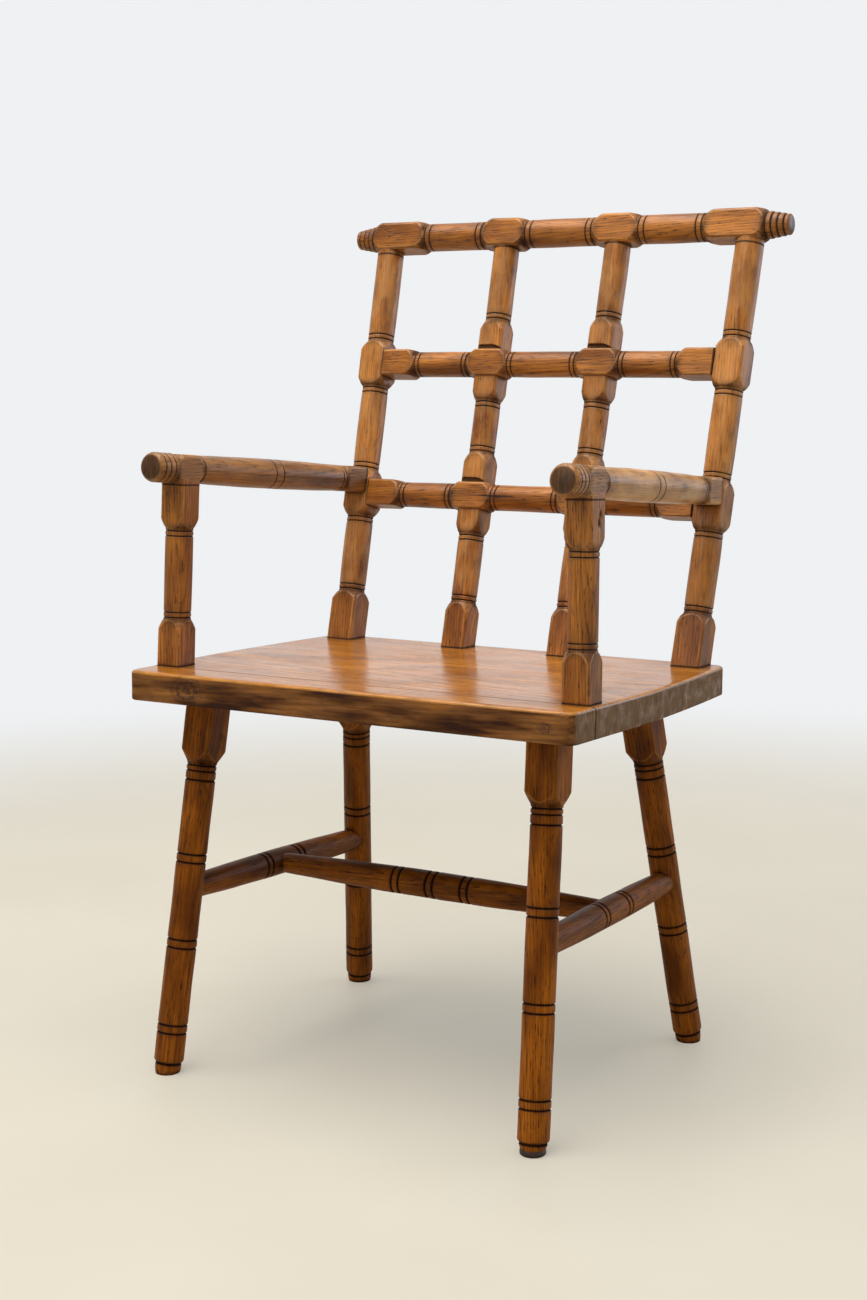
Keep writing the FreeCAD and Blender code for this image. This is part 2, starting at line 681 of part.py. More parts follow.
def make_post(name, foot, top, side, kind, mortises):
    """Back post: kind holds square, neck, foot tenon frame sizes and the outline of its blocks."""
    axis = aim(mirrored(foot, side), mirrored(top, side), BACKWARD)
    frame = shifted(axis, up=-size.trim)
    length = span(foot, top)
    corners = [(0, 0), (kind.arris / 2, 0), (kind.arris / 2, size.trim + kind.foot_block - size.post_pommel),
               (kind.neck / 2, size.trim + kind.foot_block)]
    grooves = pair(size.trim + kind.foot_block + size.ring_gap, kind.neck / 2, size.ring_step)
    for low, high in kind.blocks:
        corners = shaft(corners, size.trim + low, kind.neck, kind.belly)
        corners += block(size.trim + low, size.trim + high, kind.neck, kind.arris, size.post_pommel)[1:]
        radius = kind.neck / 2
        grooves += pair(size.trim + low - size.ring_gap - size.ring_step, radius, size.ring_step)
        grooves += pair(size.trim + high + size.ring_gap, radius, size.ring_step)
    corners = shaft(corners, size.trim + length, kind.neck, kind.belly)
    corners.append((0, size.trim + length))
    turning = turned(f"{name}_turning", frame, corners, grooves)
    stock = square_stock(f"{name}_stock", frame, kind.square, size.trim + length)
    trimmed = common(f"{name}_trimmed", turning, stock, above_seat, below_top_rail)
    into_seat = aim(mirrored(top, side), mirrored(foot, side), BACKWARD)
    into_seat = shifted(into_seat, up=length)
    into_rail = shifted(axis, up=length - size.top_square / 2)
    whole = joined(f"{name}_whole", trimmed,
                   tenon(f"{name}_foot_tenon", into_seat, size.post_tenon, size.seat_tenon_length),
                   tenon(f"{name}_top_tenon", into_rail, size.top_tenon, size.top_tenon_length))
    seat_sockets.append(socket(f"{name}_socket", into_seat, size.post_tenon, size.seat_tenon_length))
    top_rail_sockets.append(socket(f"{name}_top_socket", into_rail, size.top_tenon, size.top_tenon_length))
    nodes[name] = cut(name, whole, *mortises)


top_rail_sockets = []
half_block = size.outer_block / 2
OUTER = types.SimpleNamespace(
    square=size.outer_square, arris=size.outer_arris, neck=size.outer_neck, belly=size.outer_belly_rise,
    foot_block=size.outer_foot_block,
    blocks=[(height - half_block, height + half_block) for height in (size.low_rail_height, size.mid_rail_height)],
)
INNER = types.SimpleNamespace(
    square=size.inner_square, arris=size.inner_arris, neck=size.inner_neck, belly=size.inner_belly_rise,
    foot_block=size.inner_foot_block,
    blocks=[(height - size.crossing_below, height + size.crossing_above)
            for height in (size.low_rail_height, size.mid_rail_height)],
)
RAIL_HEIGHTS = (("lower", size.low_rail_height), ("middle", size.mid_rail_height))
LAP_PLANE = -size.rail_proud / 2


def housing(name, height, side):
    """Notch in the front half of an inner post for a rail."""
    depth = size.inner_square
    tall = size.rail_square + size.glue_gap * 2
    notch = doc.addObject("Part::Box", name)
    bind(notch, Length=size.rail_crossing_block * 2, Width=depth, Height=tall)
    post = mirrored(post_axis(size.inner_foot_spread, size.inner_top_spread, height), side)
    centre = shifted(BACK_FRAME, across=post[0], up=height)
    notch.Placement = shifted(centre, -size.rail_crossing_block, LAP_PLANE - depth, -tall / 2)
    return notch


for side_name, side in SIDES:
    outer = f"{side_name}_outer_post"
    mortises = [
        socket(f"{outer}_{rail}_mortise", rail_tenon_frame(height, side), size.rail_tenon, size.rail_tenon_length)
        for rail, height in RAIL_HEIGHTS
    ]
    mortises.append(socket(f"{outer}_arm_mortise", arm_tenon_frame(side), size.arm_tenon, size.arm_tenon_length))
    make_post(outer, OUTER_FOOT, OUTER_TOP, side, OUTER, mortises)
    inner = f"{side_name}_inner_post"
    notches = [housing(f"{inner}_{rail}_notch", height, side) for rail, height in RAIL_HEIGHTS]
    make_post(inner, INNER_FOOT, INNER_TOP, side, INNER, notches)


# Rails of the back

def between_posts(name, sign):
    """Half space on the inner side of an outer post's inner face."""
    axis = aim(mirrored(OUTER_FOOT, sign), mirrored(OUTER_TOP, sign), BACKWARD)
    face = shifted(axis, across=-size.outer_square / 2 * sign)
    turn = FreeCAD.Placement(FreeCAD.Vector(), FreeCAD.Rotation(FreeCAD.Vector(0, 1, 0), -90 * sign))
    return half_space(name, face.multiply(turn), 1)


inside_posts = [between_posts(f"space_inside_{side_name}_post", side) for side_name, side in SIDES]


def make_rail(label, height):
    """Middle or lower rail: square at both ends and where it crosses the inner posts."""
    name = f"{label}_rail"
    half = post_axis(size.outer_foot_spread, size.outer_top_spread, height)[0]
    crossing = post_axis(size.inner_foot_spread, size.inner_top_spread, height)[0]
    inside = half - size.outer_square / 2
    neck, arris, pommel = size.rail_diameter, size.rail_arris, size.rail_pommel
    corners = [(0, 0), *block(as_size(0), half - inside + size.rail_end_block, neck, arris, pommel,
                              slope_at_start=False)]
    middles = (half - crossing, half + crossing)
    reach = size.rail_crossing_block / 2
    grooves = pair(half - inside + size.rail_end_block + size.ring_gap, neck / 2, size.ring_step)
    for middle in middles:
        corners += block(middle - reach, middle + reach, neck, arris, pommel)
        grooves += pair(middle - reach - size.ring_gap - size.ring_step, neck / 2, size.ring_step)
        grooves += pair(middle + reach + size.ring_gap, neck / 2, size.ring_step)
    far = half + inside - size.rail_end_block
    grooves += pair(far - size.ring_gap - size.ring_step, neck / 2, size.ring_step)
    corners += block(far, half * 2, neck, arris, pommel, slope_at_end=False)
    corners.append((0, half * 2))
    centre = rail_frame(height)
    proud = shifted(BACK_FRAME, along=-size.rail_proud).Base - BACK_FRAME.Base
    frame = shifted(FreeCAD.Placement(centre.Base + proud, centre.Rotation), up=-half)
    turning = turned(f"{name}_turning", frame, corners, grooves)
    stock = square_stock(f"{name}_stock", frame, size.rail_square, half * 2)
    trimmed = common(f"{name}_trimmed", turning, stock, *inside_posts)
    tenons = [tenon(f"{name}_{side_name}_tenon", rail_tenon_frame(height, side),
                    size.rail_tenon, size.rail_tenon_length) for side_name, side in SIDES]
    whole = joined(f"{name}_whole", trimmed, *tenons)
    laps = [lap(f"{name}_{side_name}_lap", height, side) for side_name, side in SIDES]
    nodes[name] = cut(name, whole, *laps)


def lap(name, height, side):
    """Notch in the rear half of a rail for an inner post."""
    wide = size.inner_square + size.glue_gap * 2
    tall = size.rail_square * 2
    notch = doc.addObject("Part::Box", name)
    bind(notch, Length=wide, Width=size.inner_square, Height=tall)
    post = mirrored(post_axis(size.inner_foot_spread, size.inner_top_spread, height), side)
    foot = mirrored(INNER_FOOT, side)
    top = mirrored(INNER_TOP, side)
    frame = aim(foot, top, BACKWARD)
    level = (point(post) - point(foot)).Length
    notch.Placement = shifted(frame, -wide / 2, LAP_PLANE - size.glue_gap, level - tall.number / 2)
    return notch


for label, height in RAIL_HEIGHTS:
    make_rail(label, height)


def make_top_rail():
    """Top rail: four blocks over the posts and a ringed finial at each end."""
    name = "top_rail"
    half = size.top_length / 2
    neck, arris, pommel = size.top_diameter, size.top_arris, size.post_pommel
    end_outer = OUTER_TOP[0] + size.top_block_outside
    end_inner = OUTER_TOP[0] - size.top_block_inside
    reach = size.top_crossing_block / 2
    corners = [(0, 0), (size.finial_tip / 2, 0), (size.finial_root / 2, half - end_outer)]
    corners += block(half - end_outer, half - end_inner, neck, arris, pommel)[1:]
    grooves = pair(half - end_inner + size.ring_gap, neck / 2, size.top_ring_step)
    for middle in (half - INNER_TOP[0], half + INNER_TOP[0]):
        corners += block(middle - reach, middle + reach, neck, arris, pommel)
        grooves += pair(middle - reach - size.ring_gap - size.top_ring_step, neck / 2, size.top_ring_step)
        grooves += pair(middle + reach + size.ring_gap, neck / 2, size.top_ring_step)
    grooves += pair(half + end_inner - size.ring_gap - size.top_ring_step, neck / 2, size.top_ring_step)
    corners += block(half + end_inner, half + end_outer, neck, arris, pommel)[:-1]
    corners += [(size.finial_root / 2, half + end_outer), (size.finial_tip / 2, half * 2), (0, half * 2)]
    finial = half - end_outer
    for number in range(round(size.finial_rings.number)):
        place = size.finial_first_ring + size.finial_ring_pitch * number
        radius = size.finial_tip / 2 + (size.finial_root - size.finial_tip) / 2 * (place / finial)
        grooves.append((place, radius, size.groove_width))
        grooves.append((half * 2 - place, radius, size.groove_width))
    frame = shifted(rail_frame(size.back_length), up=-half)
    turning = turned(f"{name}_turning", frame, corners, grooves)
    stock = square_stock(f"{name}_stock", frame, size.top_square, half * 2)
    nodes[name] = cut(name, common(f"{name}_trimmed", turning, stock), *top_rail_sockets)


make_top_rail()


# Arms and their front posts

def in_front_of_post(side_name, side):
    """Half space in front of an outer post's front face."""
    axis = aim(mirrored(OUTER_FOOT, side), mirrored(OUTER_TOP, side), BACKWARD)
    face = shifted(axis, along=-size.outer_square / 2)
    turn = FreeCAD.Placement(FreeCAD.Vector(), FreeCAD.Rotation(FreeCAD.Vector(1, 0, 0), 90))
    return half_space(f"space_before_{side_name}_post", face.multiply(turn), 1)


def arm_post_shoulder(side):
    """Frame where an arm post meets the underside of its arm, Z going up into the arm."""
    frame = aim(mirrored(ARM_POST_FOOT, side), mirrored(ARM_POST_TOP, side), BACKWARD)
    return shifted(frame, up=ARM_POST_LENGTH - size.arm_square / 2)


def make_arm(side_name, side):
    """Arm: rounded nose, block over the arm post, swelling shaft, block against the outer post."""
    name = f"{side_name}_arm"
    neck, arris, pommel = size.arm_end_diameter, size.arm_arris, size.arm_pommel
    near = size.arm_block_place - size.arm_block / 2
    far = size.arm_block_place + size.arm_block / 2
    rear = ARM_LENGTH - size.outer_square / 2 - size.arm_rear_block
    middle = (far + rear) / 2
    swell = neck / 2 + size.arm_belly_rise
    corners = [(0, 0), (size.arm_disc / 2, 0, size.arm_nose_bulge), (size.arm_nose_diameter / 2, size.arm_nose)]
    corners += [(size.arm_nose_diameter / 2, near), (arris / 2, near + pommel)]
    corners += bowed([(arris / 2, far - pommel), (neck / 2, far)], size.arm_belly_rise)
    corners += block(rear, ARM_LENGTH, neck, arris, pommel, slope_at_end=False)
    corners.append((0, ARM_LENGTH))
    nose_radius = size.arm_nose_diameter / 2
    grooves = [(size.arm_nose_groove + size.arm_nose_pitch * number, nose_radius, size.groove_width)
               for number in range(round(size.arm_nose_grooves.number))]
    grooves.append((far + size.ring_gap, neck / 2, size.groove_width))
    grooves += pair(middle - size.arm_pair_width / 2, swell, size.arm_pair_width)
    grooves += pair(rear - size.ring_gap - size.ring_step, neck / 2, size.ring_step)
    frame = aim(mirrored(ARM_FRONT, side), mirrored(ARM_REAR, side), UPWARD)
    turning = turned(f"{name}_turning", frame, corners, grooves)
    stock = doc.addObject("Part::Box", f"{name}_stock")
    wide = size.arm_square
    bind(stock, Length=wide, Width=wide, Height=ARM_LENGTH)
    stock.Placement = shifted(frame, -wide / 2, -wide / 2)
    squared = common(f"{name}_squared", turning, joined(f"{name}_bar", stock, nose_bar(name, frame, far, rear)),
                     in_front_of_post(side_name, side))
    whole = joined(f"{name}_whole", squared,
                   tenon(f"{name}_tenon", arm_tenon_frame(side), size.arm_tenon, size.arm_tenon_length))
    nodes[name] = cut(name, whole, socket(f"{name}_mortise", arm_post_shoulder(side),
                                          size.arm_post_tenon, size.arm_post_tenon_length))


def nose_bar(name, frame, far, rear):
    """Round stock for the nose and the shaft, which are wider than the square blocks."""
    wide = size.arm_end_diameter + size.arm_belly_rise * 4
    nose = rod(f"{name}_nose_stock", frame, wide, size.arm_block_place - size.arm_block / 2)
    shaft_bar = rod(f"{name}_shaft_stock", frame, wide, rear - far, far)
    return joined(f"{name}_round_stock", nose, shaft_bar)


def below_arm(side_name, side):
    """Half space under the flat underside of an arm's block."""
    frame = aim(mirrored(ARM_FRONT, side), mirrored(ARM_REAR, side), UPWARD)
    face = shifted(frame, along=-size.arm_square / 2)
    turn = FreeCAD.Placement(FreeCAD.Vector(), FreeCAD.Rotation(FreeCAD.Vector(1, 0, 0), 90))
    return half_space(f"space_below_{side_name}_arm", face.multiply(turn), 1)


def make_arm_post(side_name, side):
    """Arm post: square at the seat and under the arm, turned between."""
    name = f"{side_name}_arm_post"
    axis = aim(mirrored(ARM_POST_FOOT, side), mirrored(ARM_POST_TOP, side), BACKWARD)
    frame = shifted(axis, up=-size.trim)
    neck, arris, pommel = size.arm_post_diameter, size.arm_post_arris, size.post_pommel
    foot_end = size.trim + size.arm_post_foot_block
    top_start = size.trim + ARM_POST_LENGTH - size.arm_square / 2 - size.arm_post_top_block
    end = size.trim + ARM_POST_LENGTH
    corners = [(0, 0), *block(as_size(0), foot_end, neck, arris, pommel, slope_at_start=False),
               *block(top_start, end, neck, arris, pommel, slope_at_end=False), (0, end)]
    grooves = pair(foot_end + size.ring_gap, neck / 2, size.ring_step)
    grooves += pair(top_start - size.ring_gap - size.ring_step, neck / 2, size.ring_step)
    turning = turned(f"{name}_turning", frame, corners, grooves)
    stock = square_stock(f"{name}_stock", frame, size.arm_post_square, end)
    trimmed = common(f"{name}_trimmed", turning, stock, above_seat, below_arm(side_name, side))
    into_seat = shifted(aim(mirrored(ARM_POST_TOP, side), mirrored(ARM_POST_FOOT, side), BACKWARD),
                        up=ARM_POST_LENGTH)
    nodes[name] = joined(name, trimmed,
                         tenon(f"{name}_foot_tenon", into_seat, size.arm_post_tenon, size.seat_tenon_length),
                         tenon(f"{name}_top_tenon", arm_post_shoulder(side), size.arm_post_tenon,
                               size.arm_post_tenon_length))
    seat_sockets.append(socket(f"{name}_socket", into_seat, size.arm_post_tenon, size.seat_tenon_length))


for side_name, side in SIDES:
    make_arm(side_name, side)
    make_arm_post(side_name, side)


# Seat boards, the dowels between them and the levelling pad

def make_seat():
    """Seat plank in two boards, bored for every leg and post."""
    body = doc.addObject("PartDesign::Body", "seat_plank")
    outline = own_sketch(body, "seat_outline", "XY_Plane")
    draw_loop(outline, seat_corners())
    pad = body.newObject("PartDesign::Pad", "seat_pad")
    pad.Profile = outline
    pad.Reversed = True
    bind(pad, Length=size.seat_thickness)
    doc.recompute()
    rounds = (("seat_top_edges", 0, size.seat_top_round), ("seat_bottom_edges", -1, size.seat_bottom_round))
    base = pad
    for name, level, radius in rounds:
        fillet = body.newObject("PartDesign::Fillet", name)
        height = size.seat_thickness.number * level
        faces = [f"Face{n}" for n, face in enumerate(base.Shape.Faces, start=1)
                 if face.BoundBox.ZLength < 1e-6 and abs(face.BoundBox.ZMin - height) < 1e-6]
        fillet.Base = (base, faces)
        bind(fillet, Radius=radius)
        doc.recompute()
        base = fillet
    body.Placement = SEAT_FRAME
    front_room = doc.addObject("Part::Box", "front_board_room")
    bind(front_room, Length=ROOM, Width=ROOM, Height=ROOM)
    front_room.Placement = shifted(SEAT_FRAME, -ROOM / 2, size.front_board_depth - ROOM, -ROOM / 2)
    dowels = []
    holes = []
    start = shifted(SEAT_FRAME, along=size.front_board_depth, up=-size.seat_thickness / 2)
    count = round(size.dowel_count.number)
    for number in range(count):
        across = size.dowel_spacing * (number - (count - 1) / 2)
        turn = FreeCAD.Placement(FreeCAD.Vector(), FreeCAD.Rotation(FreeCAD.Vector(1, 0, 0), -90))
        frame = shifted(start, across=across).multiply(turn)
        dowels.append(rod(f"dowel_{number}", frame, size.dowel_diameter, size.dowel_length, -size.dowel_length / 2))
        depth = size.dowel_length + size.socket_spare * 2
        holes.append(rod(f"dowel_hole_{number}", frame, size.dowel_diameter + size.glue_gap * 2,
                         depth, -depth / 2))
    front = common("front_board_blank", body, front_room)
    main = cut("main_board_blank", body, front_room)
    nodes["seat_front_board"] = cut("seat_front_board", front, *holes)
    nodes["seat_main_board"] = cut("seat_main_board", main, *holes, *seat_sockets)
    group = doc.addObject("Part::Compound", "seat_dowels")
    group.Links = dowels
    nodes["seat_dowels"] = group


def seat_corners():
    """Outline of the seat seen from above, anticlockwise from the front left corner."""
    front, knee, back = size.seat_front_width / 2, size.seat_knee_width / 2, size.seat_back_width / 2
    near, far = size.seat_front_corner, size.seat_back_corner
    bow = 1 - math.sqrt(0.5)
    deep = size.seat_depth
    return [
        (-front + near, 0),
        (front - near, 0, near * bow),
        (front, near),
        (knee, size.seat_knee_depth, size.seat_side_rise),
        (back, deep - far, far * bow),
        (back - far, deep),
        (far - back, deep, far * bow),
        (-back, deep - far, size.seat_side_rise),
        (-knee, size.seat_knee_depth),
        (-front, near, near * bow),
    ]


def make_levelling_pad():
    """Disc pad under the front right foot."""
    foot = LEG_ENDS["front"][1]
    radius, edge = size.pad_diameter / 2, size.pad_edge
    corners = [(0, 0), (radius - edge, 0), (radius, edge), (radius, size.pad_thickness), (0, size.pad_thickness)]
    nodes["levelling_pad"] = turned("levelling_pad", FreeCAD.Placement(point(foot), FreeCAD.Rotation()), corners)


make_seat()
make_levelling_pad()
doc.recompute()

for name, item in nodes.items():
    item.Label = name


def stop_at_faults():
    """Stop with the names of the objects in error and of the nodes without a valid solid."""
    faults = [item.Name for item in doc.Objects if {"Invalid", "Error"} & set(item.State)]
    for name, item in nodes.items():
        shape = item.Shape
        if shape.isNull() or not shape.isValid() or not shape.Solids:
            faults.append(name)
    if faults:
        raise SystemExit(f"not built: {', '.join(faults)}")


# Stand the chair with the middle of its floor outline on the origin

stop_at_faults()
whole_box = FreeCAD.BoundBox()
for item in nodes.values():
    whole_box.add(item.Shape.optimalBoundingBox())
for item in nodes.values():
    step = FreeCAD.Vector(-whole_box.Center.x, -whole_box.Center.y, 0)
    item.Placement = FreeCAD.Placement(item.Placement.Base + step, item.Placement.Rotation)
doc.recompute()
stop_at_faults()

os.makedirs("parts", exist_ok=True)
for name, item in nodes.items():
    item.Shape.exportStep(f"parts/{name}.step")
    box = item.Shape.optimalBoundingBox()
    print(f"{name}: {len(item.Shape.Solids)} solids, {item.Shape.Volume / 1000:.1f} cm3,"
          f" z {box.ZMin:.1f} to {box.ZMax:.1f}")
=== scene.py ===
"""Waxed oak armchair: turned posts, rails, arms, legs and stretchers round a plank seat.

Sizes are in millimetres, as a turner would set them out, and become metres only in the meshes.
Places are counted from the front edge of the seat, the middle of the chair and the floor.
"""

import logging
import math
from dataclasses import dataclass, field
from enum import Enum
from typing import Any, Iterable, Sequence

import bmesh
import bpy
import numpy as np
from mathutils import Matrix, Vector


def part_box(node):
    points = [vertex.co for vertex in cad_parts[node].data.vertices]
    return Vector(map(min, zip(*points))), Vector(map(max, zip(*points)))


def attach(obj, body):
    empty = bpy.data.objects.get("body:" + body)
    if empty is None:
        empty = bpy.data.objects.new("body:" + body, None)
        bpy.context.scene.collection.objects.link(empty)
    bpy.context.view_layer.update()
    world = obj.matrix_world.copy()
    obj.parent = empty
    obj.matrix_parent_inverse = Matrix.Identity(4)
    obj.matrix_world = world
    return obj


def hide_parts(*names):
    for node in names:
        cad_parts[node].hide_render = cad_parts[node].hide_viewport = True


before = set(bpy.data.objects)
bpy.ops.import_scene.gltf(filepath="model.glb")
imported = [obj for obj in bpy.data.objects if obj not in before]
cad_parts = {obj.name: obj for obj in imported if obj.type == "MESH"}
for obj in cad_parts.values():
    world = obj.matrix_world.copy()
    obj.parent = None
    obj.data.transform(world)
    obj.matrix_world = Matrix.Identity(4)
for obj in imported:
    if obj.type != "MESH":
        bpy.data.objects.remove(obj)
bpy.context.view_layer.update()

MM = 0.001
LOG = logging.getLogger("armchair")
UP = Vector((0, 0, 1))
BACKWARD = Vector((0, 1, 0))
GROOVE_STEPS = (-3, -1.7, -1.1, -0.8, -0.4, 0, 0.4, 0.8, 1.1, 1.7, 3)

Pairs = list[tuple[float, float]]
Plane = tuple[Vector, Vector]
LegPlaces = tuple[tuple[float, float], tuple[float, float]]


class Side(Enum):
    """The two halves of the chair, seen from the front."""

    LEFT = -1
    RIGHT = 1

    @property
    def word(self) -> str:
        """The side's name as the pieces use it."""
        return self.name.lower()

    def place(self, point: Vector) -> Vector:
        """A place of the right half moved to this side."""
        return Vector((point.x * self.value, point.y, point.z))


def linear(colour: str) -> tuple[float, float, float, float]:
    """Turn an sRGB hex colour into linear light.

    Args:
        colour: six hex digits after a hash sign.

    Returns:
        Linear red, green, blue and an alpha of 1.
    """
    parts = [int(colour[at:at + 2], 16) / 255 for at in (1, 3, 5)]
    red, green, blue = (part / 12.92 if part <= 0.04045 else ((part + 0.055) / 1.055) ** 2.4
                        for part in parts)
    return red, green, blue, 1.0


def add(tree: bpy.types.NodeTree, kind: str, inputs: dict[Any, Any] | None = None, out: int | str | None = 0,
        **settings: Any) -> Any:
    """Add one shader node with its settings and links.

    Args:
        tree: node tree that takes the node.
        kind: node type without its ShaderNode prefix.
        inputs: socket name or number to a plain value or to the socket that feeds it.
        out: name or number of the output wanted, or None for the node itself.
        settings: attributes of the node itself, such as its operation.

    Returns:
        The output socket, or the new node.
    """
    made = tree.nodes.new("ShaderNode" + kind)
    for key, value in settings.items():
        setattr(made, key, value)
    for key, value in (inputs or {}).items():
        if isinstance(value, bpy.types.NodeSocket):
            tree.links.new(value, made.inputs[key])
        else:
            made.inputs[key].default_value = value
    return made if out is None else made.outputs[out]


class Patch(Enum):
    """Patterns in aged oak.

    Each has the size of a patch across the grain twice and along it, in millimetres, and the noise
    levels that become 0 and 1.
    """

    MOTTLE = ((26.32, 26.32, 111.1), 0.34, 0.62)  # broad clouds of gold and brown
    STREAKS = ((2.381, 2.381, 76.92), 0.44, 0.66)  # late wood drawn out along the grain
    FLECKS = ((3.333, 3.333, 41.67), 0.52, 0.72)  # shorter dark strokes
    STAINS = ((52.63, 52.63, 83.33), 0.52, 0.72)  # dark patches as broad as a palm
    RUBBED = ((18.18, 18.18, 33.33), 0.32, 0.6)  # where hands have worn the wax thin, also breaking up the painted arris highlight
    FILM = ((13.33, 13.33, 90.91), 0.2, 0.66)  # old wax left by the cloth, with the painted shade that it patches
    WAX = ((45.45, 45.45, 111.1), 0.3, 0.7)  # brighter and duller polish
    RAYS = ((1.111, 20.0, 33.33), 0.36, 0.68)  # rays on the end grain
    DRY = ((14.29, 14.29, 50.0), 0.35, 0.65)  # drier places of the end grain
    END_LINES = ((0.7692, 16.67, 25.0), 0.42, 0.66)  # dark lines between the rays
    CHECKS = ((5.263, 5.263, 166.7), 0.72, 0.75)  # fine checks along the grain
    BREAKS = ((16.67, 16.67, 16.67), 0.38, 0.5)  # gaps in a long shake


@dataclass(frozen=True)
class WaxedOak:
    """Oak darkened by wax and age: cloudy gold and brown, open dark pores, grime in every groove.

    The pores hold dark wax, so they read as short dark strokes along the grain, thickest in the
    early wood of each ring. Arrises are thinly paler, rubbed by hands and with a painted highlight;
    hollows stay brown and dull, with grime and painted shade.
    Sizes are in millimetres: a knot has its height, its place along the grain and its radius, and
    a shake its place across the grain, both its ends and its width.
    """

    name: str
    light: str
    dark: str
    pore: str
    worn: str
    grime: str
    end: str
    roughness: float = 0.36
    coat: float = 0.0
    specular: float = 0.5
    ring: float = 2.6
    ring_share: float = 0.22
    pore_share: float = 0.62
    swell: float = 0.25
    pith: tuple[float, float] = (58.0, -41.0)
    knots: tuple[tuple[float, float, float], ...] = ()
    shakes: tuple[tuple[float, float, float, float], ...] = ()

    def material(self) -> bpy.types.Material:
        """Build the finish.

        Returns:
            The material, which reads the attributes that mesh_object() writes on every piece.
        """
        made = bpy.data.materials.new(self.name)
        made.use_nodes = True
        made.node_tree.nodes.clear()
        OakNodes(self, made.node_tree).build()
        return made


